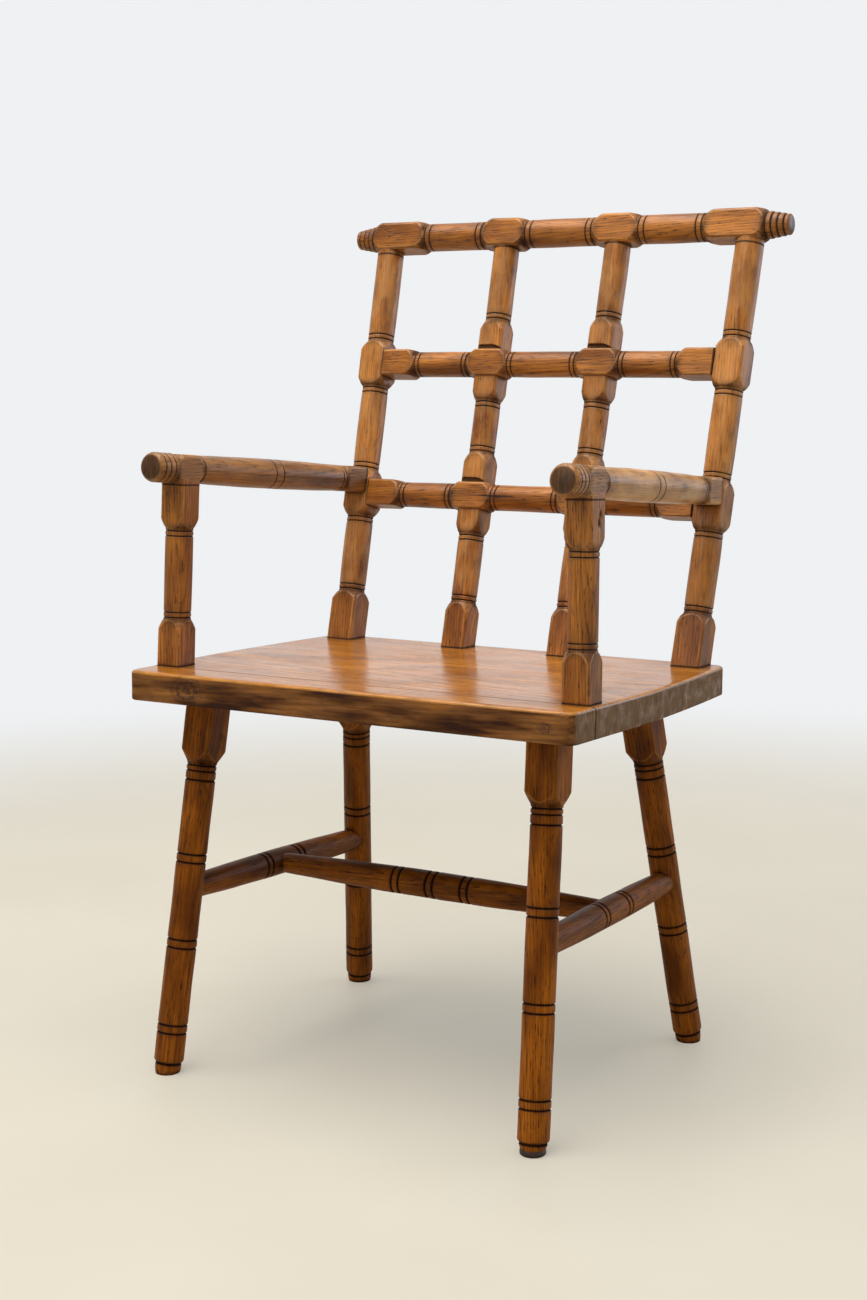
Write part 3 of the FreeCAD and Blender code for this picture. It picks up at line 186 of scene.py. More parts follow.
class OakNodes:
    """Shader nodes of one oak finish; a socket that stands for a part of the wood is 1 inside it."""

    def __init__(self, oak: WaxedOak, tree: bpy.types.NodeTree) -> None:
        """Lay out the rings, the pores and the cracks.

        Args:
            oak: colours and sizes of the finish.
            tree: empty node tree that takes the nodes.
        """
        self.oak, self.tree = oak, tree
        self.place = add(tree, "Attribute", out="Vector", attribute_name="stock")
        self.rings = self.growth_rings()
        self.pores = self.open_pores()
        self.cracks = self.checks_and_shakes()

    def build(self) -> None:
        """Lay wear and a painted arris highlight, old wax, painted shade, end grain and grime over the wood,
        and join the shader up.
        """
        tree, oak = self.tree, self.oak
        dirt, soil, wear, cross = (add(tree, "Attribute", out="Fac", attribute_name=label)
                                   for label in ("dirt", "soil", "wear", "endgrain"))
        # painted shade in corners and between parts, over the grime in grooves and joints
        crevice_and_shade = self.crevices(dirt)
        # pale arrises and rubbed stretches: real wear and a painted highlight
        rubbed = add(tree, "Math", {0: wear, 1: self.cloud(Patch.RUBBED)}, operation="MULTIPLY")
        # old wax and painted shade: the seat's edges, the stretchers, the left arm and the necks beside the
        # blocks
        caked_and_shaded = add(tree, "Math", {0: soil, 1: self.cloud(Patch.FILM)}, operation="MULTIPLY")
        colour = self.layer(self.body_colour(), oak.worn, rubbed, 0.6)
        colour = self.layer(colour, oak.grime, caked_and_shaded, 0.8)
        colour = self.end_colour(colour, cross)
        colour = self.layer(colour, oak.grime, crevice_and_shade, 0.92)
        colour = self.layer(colour, oak.grime, self.cracks, 0.9)
        gloss = add(tree, "MapRange", {"Value": self.cloud(Patch.WAX), "To Min": oak.roughness - 0.06,
                                       "To Max": oak.roughness + 0.08})
        dull = add(tree, "Math", {0: crevice_and_shade, 1: caked_and_shaded}, operation="MAXIMUM")
        rough = add(tree, "Math", {0: gloss, 1: dull}, operation="MAXIMUM")
        shader = add(tree, "BsdfPrincipled", {
            "Base Color": colour, "Roughness": rough, "IOR": 1.5, "Specular IOR Level": oak.specular,
            "Coat Weight": oak.coat, "Coat Roughness": 0.16, "Coat IOR": 1.45, "Normal": self.relief(cross),
        })
        add(tree, "OutputMaterial", {"Surface": shader}, out=None)

    def noise(self, size: Sequence[float], out: str = "Fac") -> Any:
        """Noise in patches stretched along the grain.

        Args:
            size: size of a patch across the grain twice and along it, in millimetres.
            out: name of the output wanted.

        Returns:
            Socket of the noise.
        """
        scale = [1 / (side * MM) for side in size]
        spread = add(self.tree, "Mapping", {"Vector": self.place, "Scale": scale})
        return add(self.tree, "TexNoise", {"Vector": spread, "Scale": 1.0, "Detail": 3.0}, out)

    def cloud(self, patch: Patch) -> Any:
        """Socket from 0 to 1 with one of the patterns."""
        size, low, high = patch.value
        return add(self.tree, "MapRange", {"Value": self.noise(size), "From Min": low, "From Max": high})

    def layer(self, colour: Any, over: str, amount: Any, most: float) -> Any:
        """Lay one colour over another.

        Args:
            colour: socket with the colour below.
            over: hex colour on top.
            amount: socket from 0 to 1.
            most: share of the top colour where the amount is 1.

        Returns:
            Socket with the mixed colour.
        """
        share = add(self.tree, "Math", {0: amount, 1: most}, operation="MULTIPLY", use_clamp=True)
        return add(self.tree, "Mix", {0: share, 6: colour, 7: linear(over)}, 2, data_type="RGBA")

    def growth_rings(self) -> Any:
        """Early wood of rings round a pith that lies outside the stock and runs nearly along it.

        Returns:
            Socket that rises to 1 in the early wood of each ring and ends sharply there.
        """
        tree = self.tree
        drift = self.noise((33.33, 33.33, 250.0), "Color")
        pull = add(tree, "VectorMath", {0: drift, 1: (0.5, 0.5, 0.5)}, operation="SUBTRACT")
        pull = add(tree, "VectorMath", {0: pull, "Scale": 7 * MM}, operation="SCALE")
        bent = add(tree, "VectorMath", {0: self.place, 1: pull}, operation="ADD")
        pith = [place * MM for place in self.oak.pith]
        axis = add(tree, "Mapping", {"Vector": bent, "Location": (*pith, 0), "Rotation": (0.03, 0.045, 0)})
        flat = add(tree, "VectorMath", {0: axis, 1: (1, 1, 0)}, operation="MULTIPLY")
        depth = add(tree, "VectorMath", {0: flat}, "Value", operation="LENGTH")
        count = add(tree, "Math", {0: depth, 1: 1 / (self.oak.ring * MM)}, operation="MULTIPLY")
        saw = add(tree, "Math", {0: count}, operation="FRACT")
        return add(tree, "MapRange", {"Value": saw, "From Min": 0.35, "From Max": 0.95},
                   interpolation_type="SMOOTHSTEP")

    def open_pores(self) -> Any:
        """Open pores, drawn 1.3 mm wide and 12.5 mm long, coarser than the real ones so that they show.

        Returns:
            Socket that is 1 in a pore; pores gather in the early wood.
        """
        tree = self.tree
        fine = add(tree, "Mapping", {"Vector": self.place, "Rotation": (0.04, 0.05, 0),
                                     "Scale": [1 / (side * MM) for side in (1.316, 1.316, 12.5)]})
        specks = add(tree, "TexNoise", {"Vector": fine, "Scale": 1.0, "Detail": 2.0, "Roughness": 0.6}, "Fac")
        level = add(tree, "MapRange", {"Value": self.rings, "To Min": 0.64, "To Max": 0.54})
        over = add(tree, "Math", {0: specks, 1: level}, operation="SUBTRACT")
        return add(tree, "MapRange", {"Value": over, "From Min": 0.0, "From Max": 0.05})

    def body_colour(self) -> Any:
        """Socket with the colour of the clean wood along the grain."""
        oak, mottle = self.oak, self.cloud(Patch.MOTTLE)
        base = add(self.tree, "Mix", {0: mottle, 6: linear(oak.dark), 7: linear(oak.light)}, 2,
                   data_type="RGBA")
        base = self.layer(base, oak.dark, self.cloud(Patch.STREAKS), 0.6)
        base = self.layer(base, oak.pore, self.cloud(Patch.FLECKS), 0.4)
        base = self.layer(base, oak.pore, self.cloud(Patch.STAINS), 0.36)
        base = self.layer(base, oak.pore, self.rings, oak.ring_share)
        for knot in oak.knots:
            base = self.layer(base, oak.pore, self.knot(*(size * MM for size in knot)), 0.92)
        return self.layer(base, oak.pore, self.pores, oak.pore_share)

    def knot(self, height: float, along: float, radius: float) -> Any:
        """Knot that runs back from the front edge of a plank.

        Args:
            height: height of its middle over the middle of the stock.
            along: place of its middle along the grain.
            radius: its size.

        Returns:
            Socket that is 1 in the dark rings of the knot.
        """
        tree = self.tree
        moved = add(tree, "VectorMath", {0: self.place, 1: (0, -height, -along)}, operation="ADD")
        seen = add(tree, "VectorMath", {0: moved, 1: (0.2, 1, 0.75)}, operation="MULTIPLY")
        rough = add(tree, "TexNoise", {"Vector": self.place, "Scale": 1 / (4.167 * MM), "Detail": 2.0}, "Fac")
        away = add(tree, "VectorMath", {0: seen}, "Value", operation="LENGTH")
        ripple = add(tree, "Math", {0: rough, 1: radius * 0.7, 2: away}, operation="MULTIPLY_ADD")
        turns = add(tree, "Math", {0: ripple, 1: 15 / radius}, operation="MULTIPLY")
        lines = add(tree, "Math", {0: turns}, operation="SINE")
        lines = add(tree, "MapRange", {"Value": lines, "From Min": -0.6, "From Max": 0.8, "To Min": 0.2})
        fade = add(tree, "MapRange", {"Value": ripple, "From Min": radius * 1.45, "From Max": radius * 1.2})
        return add(tree, "Math", {0: lines, 1: fade}, operation="MULTIPLY")

    def end_colour(self, colour: Any, cross: Any) -> Any:
        """Cover the ends of the stock with the darker, drier end grain.

        Args:
            colour: socket with the colour along the grain.
            cross: socket that is 1 where the surface cuts the grain square.

        Returns:
            Socket with the colour.
        """
        tree, oak = self.tree, self.oak
        rays = add(tree, "Math", {0: self.cloud(Patch.RAYS), 1: 0.5}, operation="MULTIPLY")
        ends = add(tree, "Mix", {0: rays, 6: linear(oak.end), 7: linear(oak.dark)}, 2, data_type="RGBA")
        ends = self.layer(ends, oak.grime, self.cloud(Patch.END_LINES), 0.6)
        cover = add(tree, "Math", {0: self.cloud(Patch.DRY), 1: 0.15, 2: 0.8}, operation="MULTIPLY_ADD")
        share = add(tree, "Math", {0: cross, 1: cover}, operation="MULTIPLY")
        return add(tree, "Mix", {0: share, 6: colour, 7: ends}, 2, data_type="RGBA")

    def crevices(self, dirt: Any) -> Any:
        """Painted shade in corners, creases and where parts meet, from ambient occlusion, over the old wax
        and dust in the grooves and along every joint.

        Args:
            dirt: socket with the depth in a groove, the grime of chips and joints and the painted shade of
                the arched undercuts, from 0 to 1.

        Returns:
            Socket with the amount of grime and painted shade.
        """
        # ambient occlusion paints shade into corners and where parts meet
        open_sky = add(self.tree, "AmbientOcclusion", {"Distance": 8 * MM}, "AO", samples=6)
        corner = add(self.tree, "MapRange", {"Value": open_sky, "From Min": 0.74, "From Max": 0.44})
        return add(self.tree, "Math", {0: corner, 1: dirt}, operation="MAXIMUM")

    def checks_and_shakes(self) -> Any:
        """Socket that is 1 in the fine checks along the grain and in the stock's long shakes."""
        total = self.cloud(Patch.CHECKS)
        for across, start, end, width in self.oak.shakes:
            line = self.shake(across * MM, start * MM, end * MM, width * MM)
            total = add(self.tree, "Math", {0: total, 1: line}, operation="MAXIMUM")
        return total

    def shake(self, across: float, start: float, end: float, width: float) -> Any:
        """Long wandering crack along the grain.

        Args:
            across: its place across the grain.
            start: where it begins along the grain.
            end: where it ends.
            width: its width.

        Returns:
            Socket that is 1 in the crack.
        """
        tree, wander, reach = self.tree, 5 * MM, (end - start) / 2
        axes = add(tree, "SeparateXYZ", {0: self.place}, out=None)
        wave = add(tree, "TexNoise", {"Vector": self.place, "Scale": 1 / (22.22 * MM), "Detail": 3.0}, "Fac")
        wave = add(tree, "MapRange", {"Value": wave, "To Min": across - wander, "To Max": across + wander})
        apart = add(tree, "Math", {0: axes.outputs[0], 1: wave}, operation="SUBTRACT")
        apart = add(tree, "Math", {0: apart}, operation="ABSOLUTE")
        line = add(tree, "MapRange", {"Value": apart, "From Min": width, "From Max": width * 0.4})
        along = add(tree, "Math", {0: axes.outputs[2], 1: (start + end) / 2}, operation="SUBTRACT")
        along = add(tree, "Math", {0: along}, operation="ABSOLUTE")
        within = add(tree, "MapRange", {"Value": along, "From Min": reach, "From Max": reach * 0.8})
        line = add(tree, "Math", {0: line, 1: within}, operation="MULTIPLY")
        return add(tree, "Math", {0: line, 1: self.cloud(Patch.BREAKS)}, operation="MULTIPLY")

    def relief(self, cross: Any) -> Any:
        """Bump of the pores, the cracks, the soft early wood and the tool's slight unevenness.

        Args:
            cross: socket that is 1 where the surface cuts the grain square.

        Returns:
            Socket with the normal.
        """
        tree = self.tree
        dents = add(tree, "TexNoise", {"Vector": self.place, "Scale": 1 / (20 * MM), "Detail": 3.0}, "Fac")
        swell = add(tree, "Bump", {"Height": dents, "Distance": 1.5 * MM, "Strength": self.oak.swell})
        soft = add(tree, "Bump", {"Height": self.rings, "Distance": 0.08 * MM, "Strength": 0.5,
                                  "Normal": swell}, invert=True)
        flank = add(tree, "Math", {0: 1.0, 1: cross}, operation="SUBTRACT")
        pores = add(tree, "Math", {0: self.pores, 1: flank}, operation="MULTIPLY")
        holes = add(tree, "Math", {0: pores, 1: self.cracks}, operation="MAXIMUM")
        return add(tree, "Bump", {"Height": holes, "Distance": 0.25 * MM, "Strength": 0.6, "Normal": soft},
                   invert=True)


def dress(piece: bpy.types.Object, finish: bpy.types.Material, slot: str, *nodes: str) -> None:
    """Give a piece its finish, its place in the frame and the solids that it stands for.

    Args:
        piece: mesh object in place.
        finish: material of the whole piece.
        slot: the record's material slot; not used.
        nodes: solids that the piece replaces.
    """
    piece.data.materials.append(finish)
    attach(piece, "root")
    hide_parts(*nodes)
    LOG.info("%s: %d faces", piece.name, len(piece.data.polygons))


def mesh_object(name: str, points: np.ndarray, faces: Sequence[Sequence[int]],
                marks: dict[str, np.ndarray], axis: Vector) -> bpy.types.Object:
    """Make a smooth mesh object with the attributes that the finishes read.

    Args:
        name: name of the piece.
        points: places in metres, in the frame.
        faces: vertex numbers of each face.
        marks: attribute name to one value, or one vector, for each vertex.
        axis: direction of the grain.

    Returns:
        The object, linked to the scene.
    """
    mesh = bpy.data.meshes.new(name)
    mesh.from_pydata(points.tolist(), [], faces)
    mesh.update()
    mesh.shade_smooth()
    normals = np.zeros(len(points) * 3)
    mesh.vertex_normals.foreach_get("vector", normals)
    facing = np.abs(normals.reshape(-1, 3) @ np.array(axis))
    marks = {**marks, "endgrain": np.clip((facing - 0.8) / 0.15, 0, 1)}
    for label, values in marks.items():
        vector = values.ndim == 2
        made = mesh.attributes.new(label, "FLOAT_VECTOR" if vector else "FLOAT", "POINT")
        made.data.foreach_set("vector" if vector else "value", values.astype(np.float32).ravel())
    piece = bpy.data.objects.new(name, mesh)
    bpy.context.scene.collection.objects.link(piece)
    return piece


def aimed(start: Vector, end: Vector, facing: Vector) -> Matrix:
    """Frame of a member: Z from start to end, Y as near the facing direction as it can be.

    Args:
        start: where the member is counted from, in millimetres.
        end: a place further along it.
        facing: direction for the Y faces of its square blocks.

    Returns:
        Matrix from the member's own millimetres to the chair's.
    """
    along = (end - start).normalized()
    behind = (facing - along * facing.dot(along)).normalized()
    across = behind.cross(along)
    return Matrix.Translation(start) @ Matrix((across, behind, along)).transposed().to_4x4()


def with_tips(grid: np.ndarray) -> np.ndarray:
    """All the points of a member's rings, then the middle of its first ring and of its last."""
    return np.concatenate([grid.reshape(-1, 3), [grid[0].mean(0), grid[-1].mean(0)]])


def skin(rows: int, turns: int) -> list[Sequence[int]]:
    """Faces between the rings of a member and over both its ends.

    Args:
        rows: number of rings.
        turns: points in a ring.

    Returns:
        Vertex numbers of each face, in the order that with_tips() gives the points.
    """
    number = np.arange(rows * turns).reshape(rows, turns)
    nearby = np.roll(number, -1, axis=1)
    faces = np.stack([number[:-1], nearby[:-1], nearby[1:], number[1:]], axis=-1).reshape(-1, 4).tolist()
    bottom, top = rows * turns, rows * turns + 1
    faces += [(nearby[0][at], number[0][at], bottom) for at in range(turns)]
    faces += [(number[-1][at], nearby[-1][at], top) for at in range(turns)]
    return faces


@dataclass
class Block:
    """A stretch left square, with a turned slope at one or both of its ends."""

    start: float
    end: float
    side: float
    arris: float
    slope: float
    first: bool = True
    last: bool = True

    def outline(self, neck: float) -> Pairs:
        """Heights and radii of the turned outline over the block.

        Args:
            neck: diameter beside the block.

        Returns:
            Corner points of the outline.
        """
        edge, root = self.arris / 2, neck / 2
        rise = edge - root
        curve = [(self.slope * share ** 1.4, root + rise * share) for share in np.linspace(0, 1, 7).tolist()]
        near, far = [(self.start, edge)], [(self.end, edge)]
        if self.first:
            near = [(self.start + along, radius) for along, radius in curve]
        if self.last:
            far = [(self.end - along, radius) for along, radius in reversed(curve)]
        return near + far


@dataclass
class Turning:
    """One turned member: an outline of heights and radii, blocks left square, and V grooves.

    Heights run from start to end. A groove has its height and its width. A cut and a joint are
    planes: what lies beyond a cut is taken away, and old wax gathers along a joint. A chip has its
    height, angle and size, an arch the height of the rail under it, its undercut painted in shade,
    and the rubbed stretch both its ends and its share of wear, which on the right arm also paints a
    pale sheen. The shade film is painted shade all over, and ease and edge the roundness and the
    breadth of the pale arrises, worn wood with a painted highlight.
    """

    name: str
    start: Vector
    end: Vector
    facing: Vector
    outline: Pairs
    blocks: list[Block] = field(default_factory=list)
    grooves: Pairs = field(default_factory=list)
    cuts: list[Plane] = field(default_factory=list)
    joints: list[Plane] = field(default_factory=list)
    chips: list[tuple[float, float, float]] = field(default_factory=list)
    arches: list[float] = field(default_factory=list)
    # painted shade all over the piece
    film: float = 0.0
    rubbed: tuple[float, float, float] = (0.0, 0.0, 0.0)
    turns: int = 136
    groove_depth: float = 1.1
    ease: float = 0.8
    edge: float = 1.1

    @property
    def length(self) -> float:
        """Distance between the two places that the member is aimed by."""
        return (self.end - self.start).length

    def heights(self) -> np.ndarray:
        """Heights at which the outline is cut into rings, close where the shape turns quickly."""
        low, high = self.outline[0][0], self.outline[-1][0]
        marks = set(np.linspace(low, high, max(2, round((high - low) / 9))).tolist())
        marks.update(height for height, _ in self.outline)
        for (a, first), (b, second) in zip(self.outline, self.outline[1:]):
            if abs(first - second) > 0.4 and b - a < 16:
                marks.update(np.linspace(a, b, max(3, round((b - a) / 0.8))).tolist())
        for height, width in self.grooves:
            marks.update(height + width / 2 * step for step in GROOVE_STEPS)
        for middle in self.arches:
            marks.update(np.arange(middle - 1.0, middle + 9.0, 0.6).tolist())
        along = (self.end - self.start).normalized()
        for point, normal in self.joints:
            middle = (point - self.start).dot(normal) / along.dot(normal)
            marks.update(np.arange(middle - 7.0, middle + 8.0, 0.9).tolist())
        for middle, _, size in self.chips:
            marks.update(np.linspace(middle - size * 1.5, middle + size * 1.5, 13).tolist())
        kept = []
        for mark in sorted(mark for mark in marks if low <= mark <= high):
            if not kept or mark - kept[-1] > 0.22:
                kept.append(mark)
        return np.array(kept)

    def radii(self, heights: np.ndarray, angles: np.ndarray) -> tuple[np.ndarray, np.ndarray]:
        """Distance from the axis at every height and angle, and how near it is to an arris.

        Args:
            heights: heights of the rings.
            angles: angles round the axis.

        Returns:
            Radii and edge shares, one row for each ring.
        """
        levels, sizes = zip(*self.outline)
        turned = np.interp(heights, levels, sizes)[:, None] + np.zeros(len(angles))
        side = np.full(len(heights), 1e3)
        for block in self.blocks:
            side[(heights >= block.start) & (heights <= block.end)] = block.side / 2
        flat = side[:, None] / np.maximum(np.abs(np.cos(angles)), np.abs(np.sin(angles)))
        apart = np.abs(turned - flat)
        near = np.clip(1 - apart / self.ease, 0, 1)
        # the edge share marks the pale arris: worn wood and a painted highlight
        return np.minimum(turned, flat) - near ** 2 * self.ease / 4, np.clip(1 - apart / self.edge, 0, 1)

    def soil(self, heights: np.ndarray) -> np.ndarray:
        """Brown film beside the grooves and at the foot of each slope, old wax where no cloth reaches with
        painted shade, over the piece's painted shade film.

        Args:
            heights: heights of the rings.

        Returns:
            Share of the film at each height.
        """
        # painted shade film all over, then old wax and painted shade beside the grooves and at the slope
        # roots
        film = np.full(len(heights), self.film)
        for height, _ in self.grooves:
            film = np.maximum(film, 0.5 * np.exp(-((heights - height) / 3.0) ** 2))
        for block in self.blocks:
            for root, turned in ((block.start, block.first), (block.end, block.last)):
                if turned:
                    film = np.maximum(film, np.exp(-((heights - root) / 5.0) ** 2))
        return film

    def polish(self, heights: np.ndarray) -> np.ndarray:
        """Share of wear at each height, where hands and backs rub a stretch of the member; on the right arm
        it also paints a pale sheen.
        """
        low, high, share = self.rubbed
        return share * np.clip((heights - low) / 8, 0, 1) * np.clip((high - heights) / 8, 0, 1)

    def build(self) -> bpy.types.Object:
        """Make the member's mesh.

        Returns:
            The new object.
        """
        seed = sum(ord(letter) * (at + 3) for at, letter in enumerate(self.name))
        chance = np.random.default_rng(seed)
        heights = self.heights()
        angles = np.arange(self.turns) * 2 * math.pi / self.turns
        radius, edge, dirt = self.surface(heights, angles, chance)
        grid = np.stack([radius * np.cos(angles), radius * np.sin(angles),
                         heights[:, None] + np.zeros_like(radius)], axis=-1)
        for level in self.arches:
            dirt = np.maximum(dirt, self.carve_arch(grid, level))
        world, grid, dirt = self.set_in_place(grid, dirt)
        tips = (0, 0)
        marks = {
            "stock": with_tips(grid) * MM + chance.uniform(-0.4, 0.4, 3) * np.array((0.05, 0.05, 4)),
            # the grime marks also carry the painted shade of the undercuts, the soil marks painted shade with
            # old wax, and the wear marks a painted highlight with real wear
            "dirt": np.append(dirt, tips),
            "soil": np.append(np.repeat(self.soil(heights), self.turns), tips),
            "wear": np.append(np.maximum(edge, self.polish(heights)[:, None]), tips),
        }
        points, along = (with_tips(world) + ORIGIN) * MM, (self.end - self.start).normalized()
        return mesh_object(self.name, points, skin(*radius.shape), marks, along)

    def surface(self, heights: np.ndarray, angles: np.ndarray,
                chance: np.random.Generator) -> tuple[np.ndarray, np.ndarray, np.ndarray]:
        """Cut the grooves and the chips, and leave the small unevenness of hand turning.

        Args:
            heights: heights of the rings.
            angles: angles round the axis.
            chance: random numbers of this piece.

        Returns:
            Radii, edge shares and shares of grime, one row for each ring.
        """
        radius, edge = self.radii(heights, angles)
        dirt = np.zeros_like(radius)
        for height, width in self.grooves:
            share = np.clip(1 - np.abs(heights - height) / (width / 2), 0, 1)[:, None]
            radius = radius - share * self.groove_depth
            dirt = np.maximum(dirt, np.clip(share * 2.2, 0, 1))
        for height, angle, size in self.chips:
            turn = np.angle(np.exp(1j * (angles - angle))) * radius
            hollow = np.exp(-((heights[:, None] - height) / size) ** 2 - (turn / size * 2.4) ** 2)
            radius = radius - hollow * 1.8
            dirt = np.maximum(dirt, np.clip(hollow * 1.3, 0, 1))
        for _ in range(5):
            pitch, twist, shift = chance.uniform(0.02, 0.11), chance.integers(0, 4), chance.uniform(0, 6.28)
            radius = radius - 0.06 * (1 + np.sin(heights[:, None] * pitch + angles * twist + shift))
        return radius, edge, dirt

    def set_in_place(self, grid: np.ndarray, dirt: np.ndarray) -> tuple[np.ndarray, np.ndarray, np.ndarray]:
        """Move the member to its place, lay old wax along its joints and make its cuts.

        Args:
            grid: points in the member's own millimetres.
            dirt: shares of grime.

        Returns:
            Points in the chair, points in the member and shares of grime.
        """
        place = aimed(self.start, self.end, self.facing)
        turn = np.array(place.to_3x3())
        world, along = grid @ turn.T + np.array(place.translation), turn[:, 2]
        for point, normal in self.joints:
            gap = np.abs((world - np.array(point)) @ np.array(normal))
            dirt = np.maximum(dirt, np.clip(1.6 - gap / 0.9, 0, 1))
        for point, normal in self.cuts:
            over = (world - np.array(point)) @ np.array(normal)
            slide = np.clip(over, 0, None) / (along @ np.array(normal))
            world = world - slide[..., None] * along
            grid = grid - slide[..., None] * np.array((0, 0, 1))
        return world, grid, dirt

    def carve_arch(self, grid: np.ndarray, level: float) -> np.ndarray:
        """Sink the low arched undercut in the front face of a post, just over a rail, and paint shade into
        it.

        Args:
            grid: points of the member, moved in place.
            level: height of the rail's upper face.

        Returns:
            Share of painted shade at each point.
        """
        rise, lean, depth = 5.6, 3.0, 3.2
        half = self.blocks[0].side / 2
        across, behind, height = grid[..., 0], grid[..., 1], grid[..., 2]
        crown = level + rise * (1 - (np.abs(across + lean) / (half + lean + 1)) ** 3)
        inside = np.clip((crown - height) / 0.6, 0, 1) * (height > level - 1) * (behind < 0)
        sunk = np.where(inside > 0, np.maximum(behind, inside * depth - half), behind)
        # painted shade darkens the undercut
        share = np.clip((sunk - behind) / 0.8, 0, 1) * 0.8
        grid[..., 1] = sunk
        return share


@dataclass
class Layout:
    """Where the members run, from the same sizes as the solids."""

    seat_height: float = 440.0
    seat_fall: float = 7.5
    seat_depth: float = 388.0
    seat_thickness: float = 32.0
    back_setback: float = 363.5
    back_length: float = 497.0
    back_lean: float = 129.5
    low_rail: float = 178.0
    mid_rail: float = 338.0
    outer: tuple[float, float] = (226.0, 236.5)
    inner: tuple[float, float] = (69.3, 73.4)
    rail_proud: float = 3.0
    outer_square: float = 35.0
    wax_line: float = 1.0

    def on_seat(self, across: float, behind: float, below: float = 0.0) -> Vector:
        """Place on the seat top, or square below it.

        Args:
            across: distance from the middle.
            behind: distance from the front edge.
            below: distance under the top.

        Returns:
            The place.
        """
        slope = self.seat_fall / self.seat_depth
        return Vector((across, behind, self.seat_height - slope * behind - math.hypot(1, slope) * below))

    def on_back(self, across: float, up: float, proud: float = 0.0) -> Vector:
        """Place in the leaning plane of the back posts.

        Args:
            across: distance from the middle.
            up: distance from the seat along the back.
            proud: distance in front of that plane.

        Returns:
            The place.
        """
        lean = self.back_lean / self.back_length
        rise = math.sqrt(1 - lean * lean)
        foot = self.on_seat(0, self.back_setback)
        return Vector((across, foot.y + lean * up - rise * proud, foot.z + rise * up + lean * proud))

    def seat_plane(self, below: float = 0.0) -> tuple[Vector, Vector]:
        """A place on the seat top, or square below it, and the direction square to the seat."""
        return self.on_seat(0, 0, below), Vector((0, self.seat_fall / self.seat_depth, 1)).normalized()

    def back_normal(self) -> Vector:
        """Direction square to the plane of the back, pointing away from the sitter."""
        return (self.on_back(0, 0) - self.on_back(0, 0, 1)).normalized()

    def post(self, spread: tuple[float, float], up: float) -> Vector:
        """Place on a back post of the right half.

        Args:
            spread: distance from the middle at the seat and at the top rail.
            up: distance from the seat along the back.

        Returns:
            The place.
        """
        return self.on_back(spread[0] + (spread[1] - spread[0]) * up / self.back_length, up)


LAYOUT = Layout()


def frame_origin() -> np.ndarray:
    """Place of the frame's origin, found from the pad under the front right foot."""
    low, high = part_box("levelling_pad")
    middle = (low + high) / 2 / MM
    foot_x, foot_y = Legs().front[1]
    return np.array((middle.x - foot_x, middle.y - foot_y, 0.0))


def bow(start: tuple[float, float], end: tuple[float, float], rise: float, steps: int = 12) -> Pairs:
    """Outline that swells between two points.

    Args:
        start: height and radius at the start.
        end: height and radius at the end.
        rise: how far the middle stands out from the straight line.
        steps: points used.

    Returns:
        The outline's points, with both ends.
    """
    points = []
    for step in range(steps + 1):
        share = step / steps
        radius = start[1] + (end[1] - start[1]) * share + rise * 4 * share * (1 - share)
        points.append((start[0] + (end[0] - start[0]) * share, radius))
    return points


def pair(height: float, step: float, width: float = 2.0) -> Pairs:
    """Two grooves a step apart, the first at the given height."""
    return [(height, width), (height + step, width)]


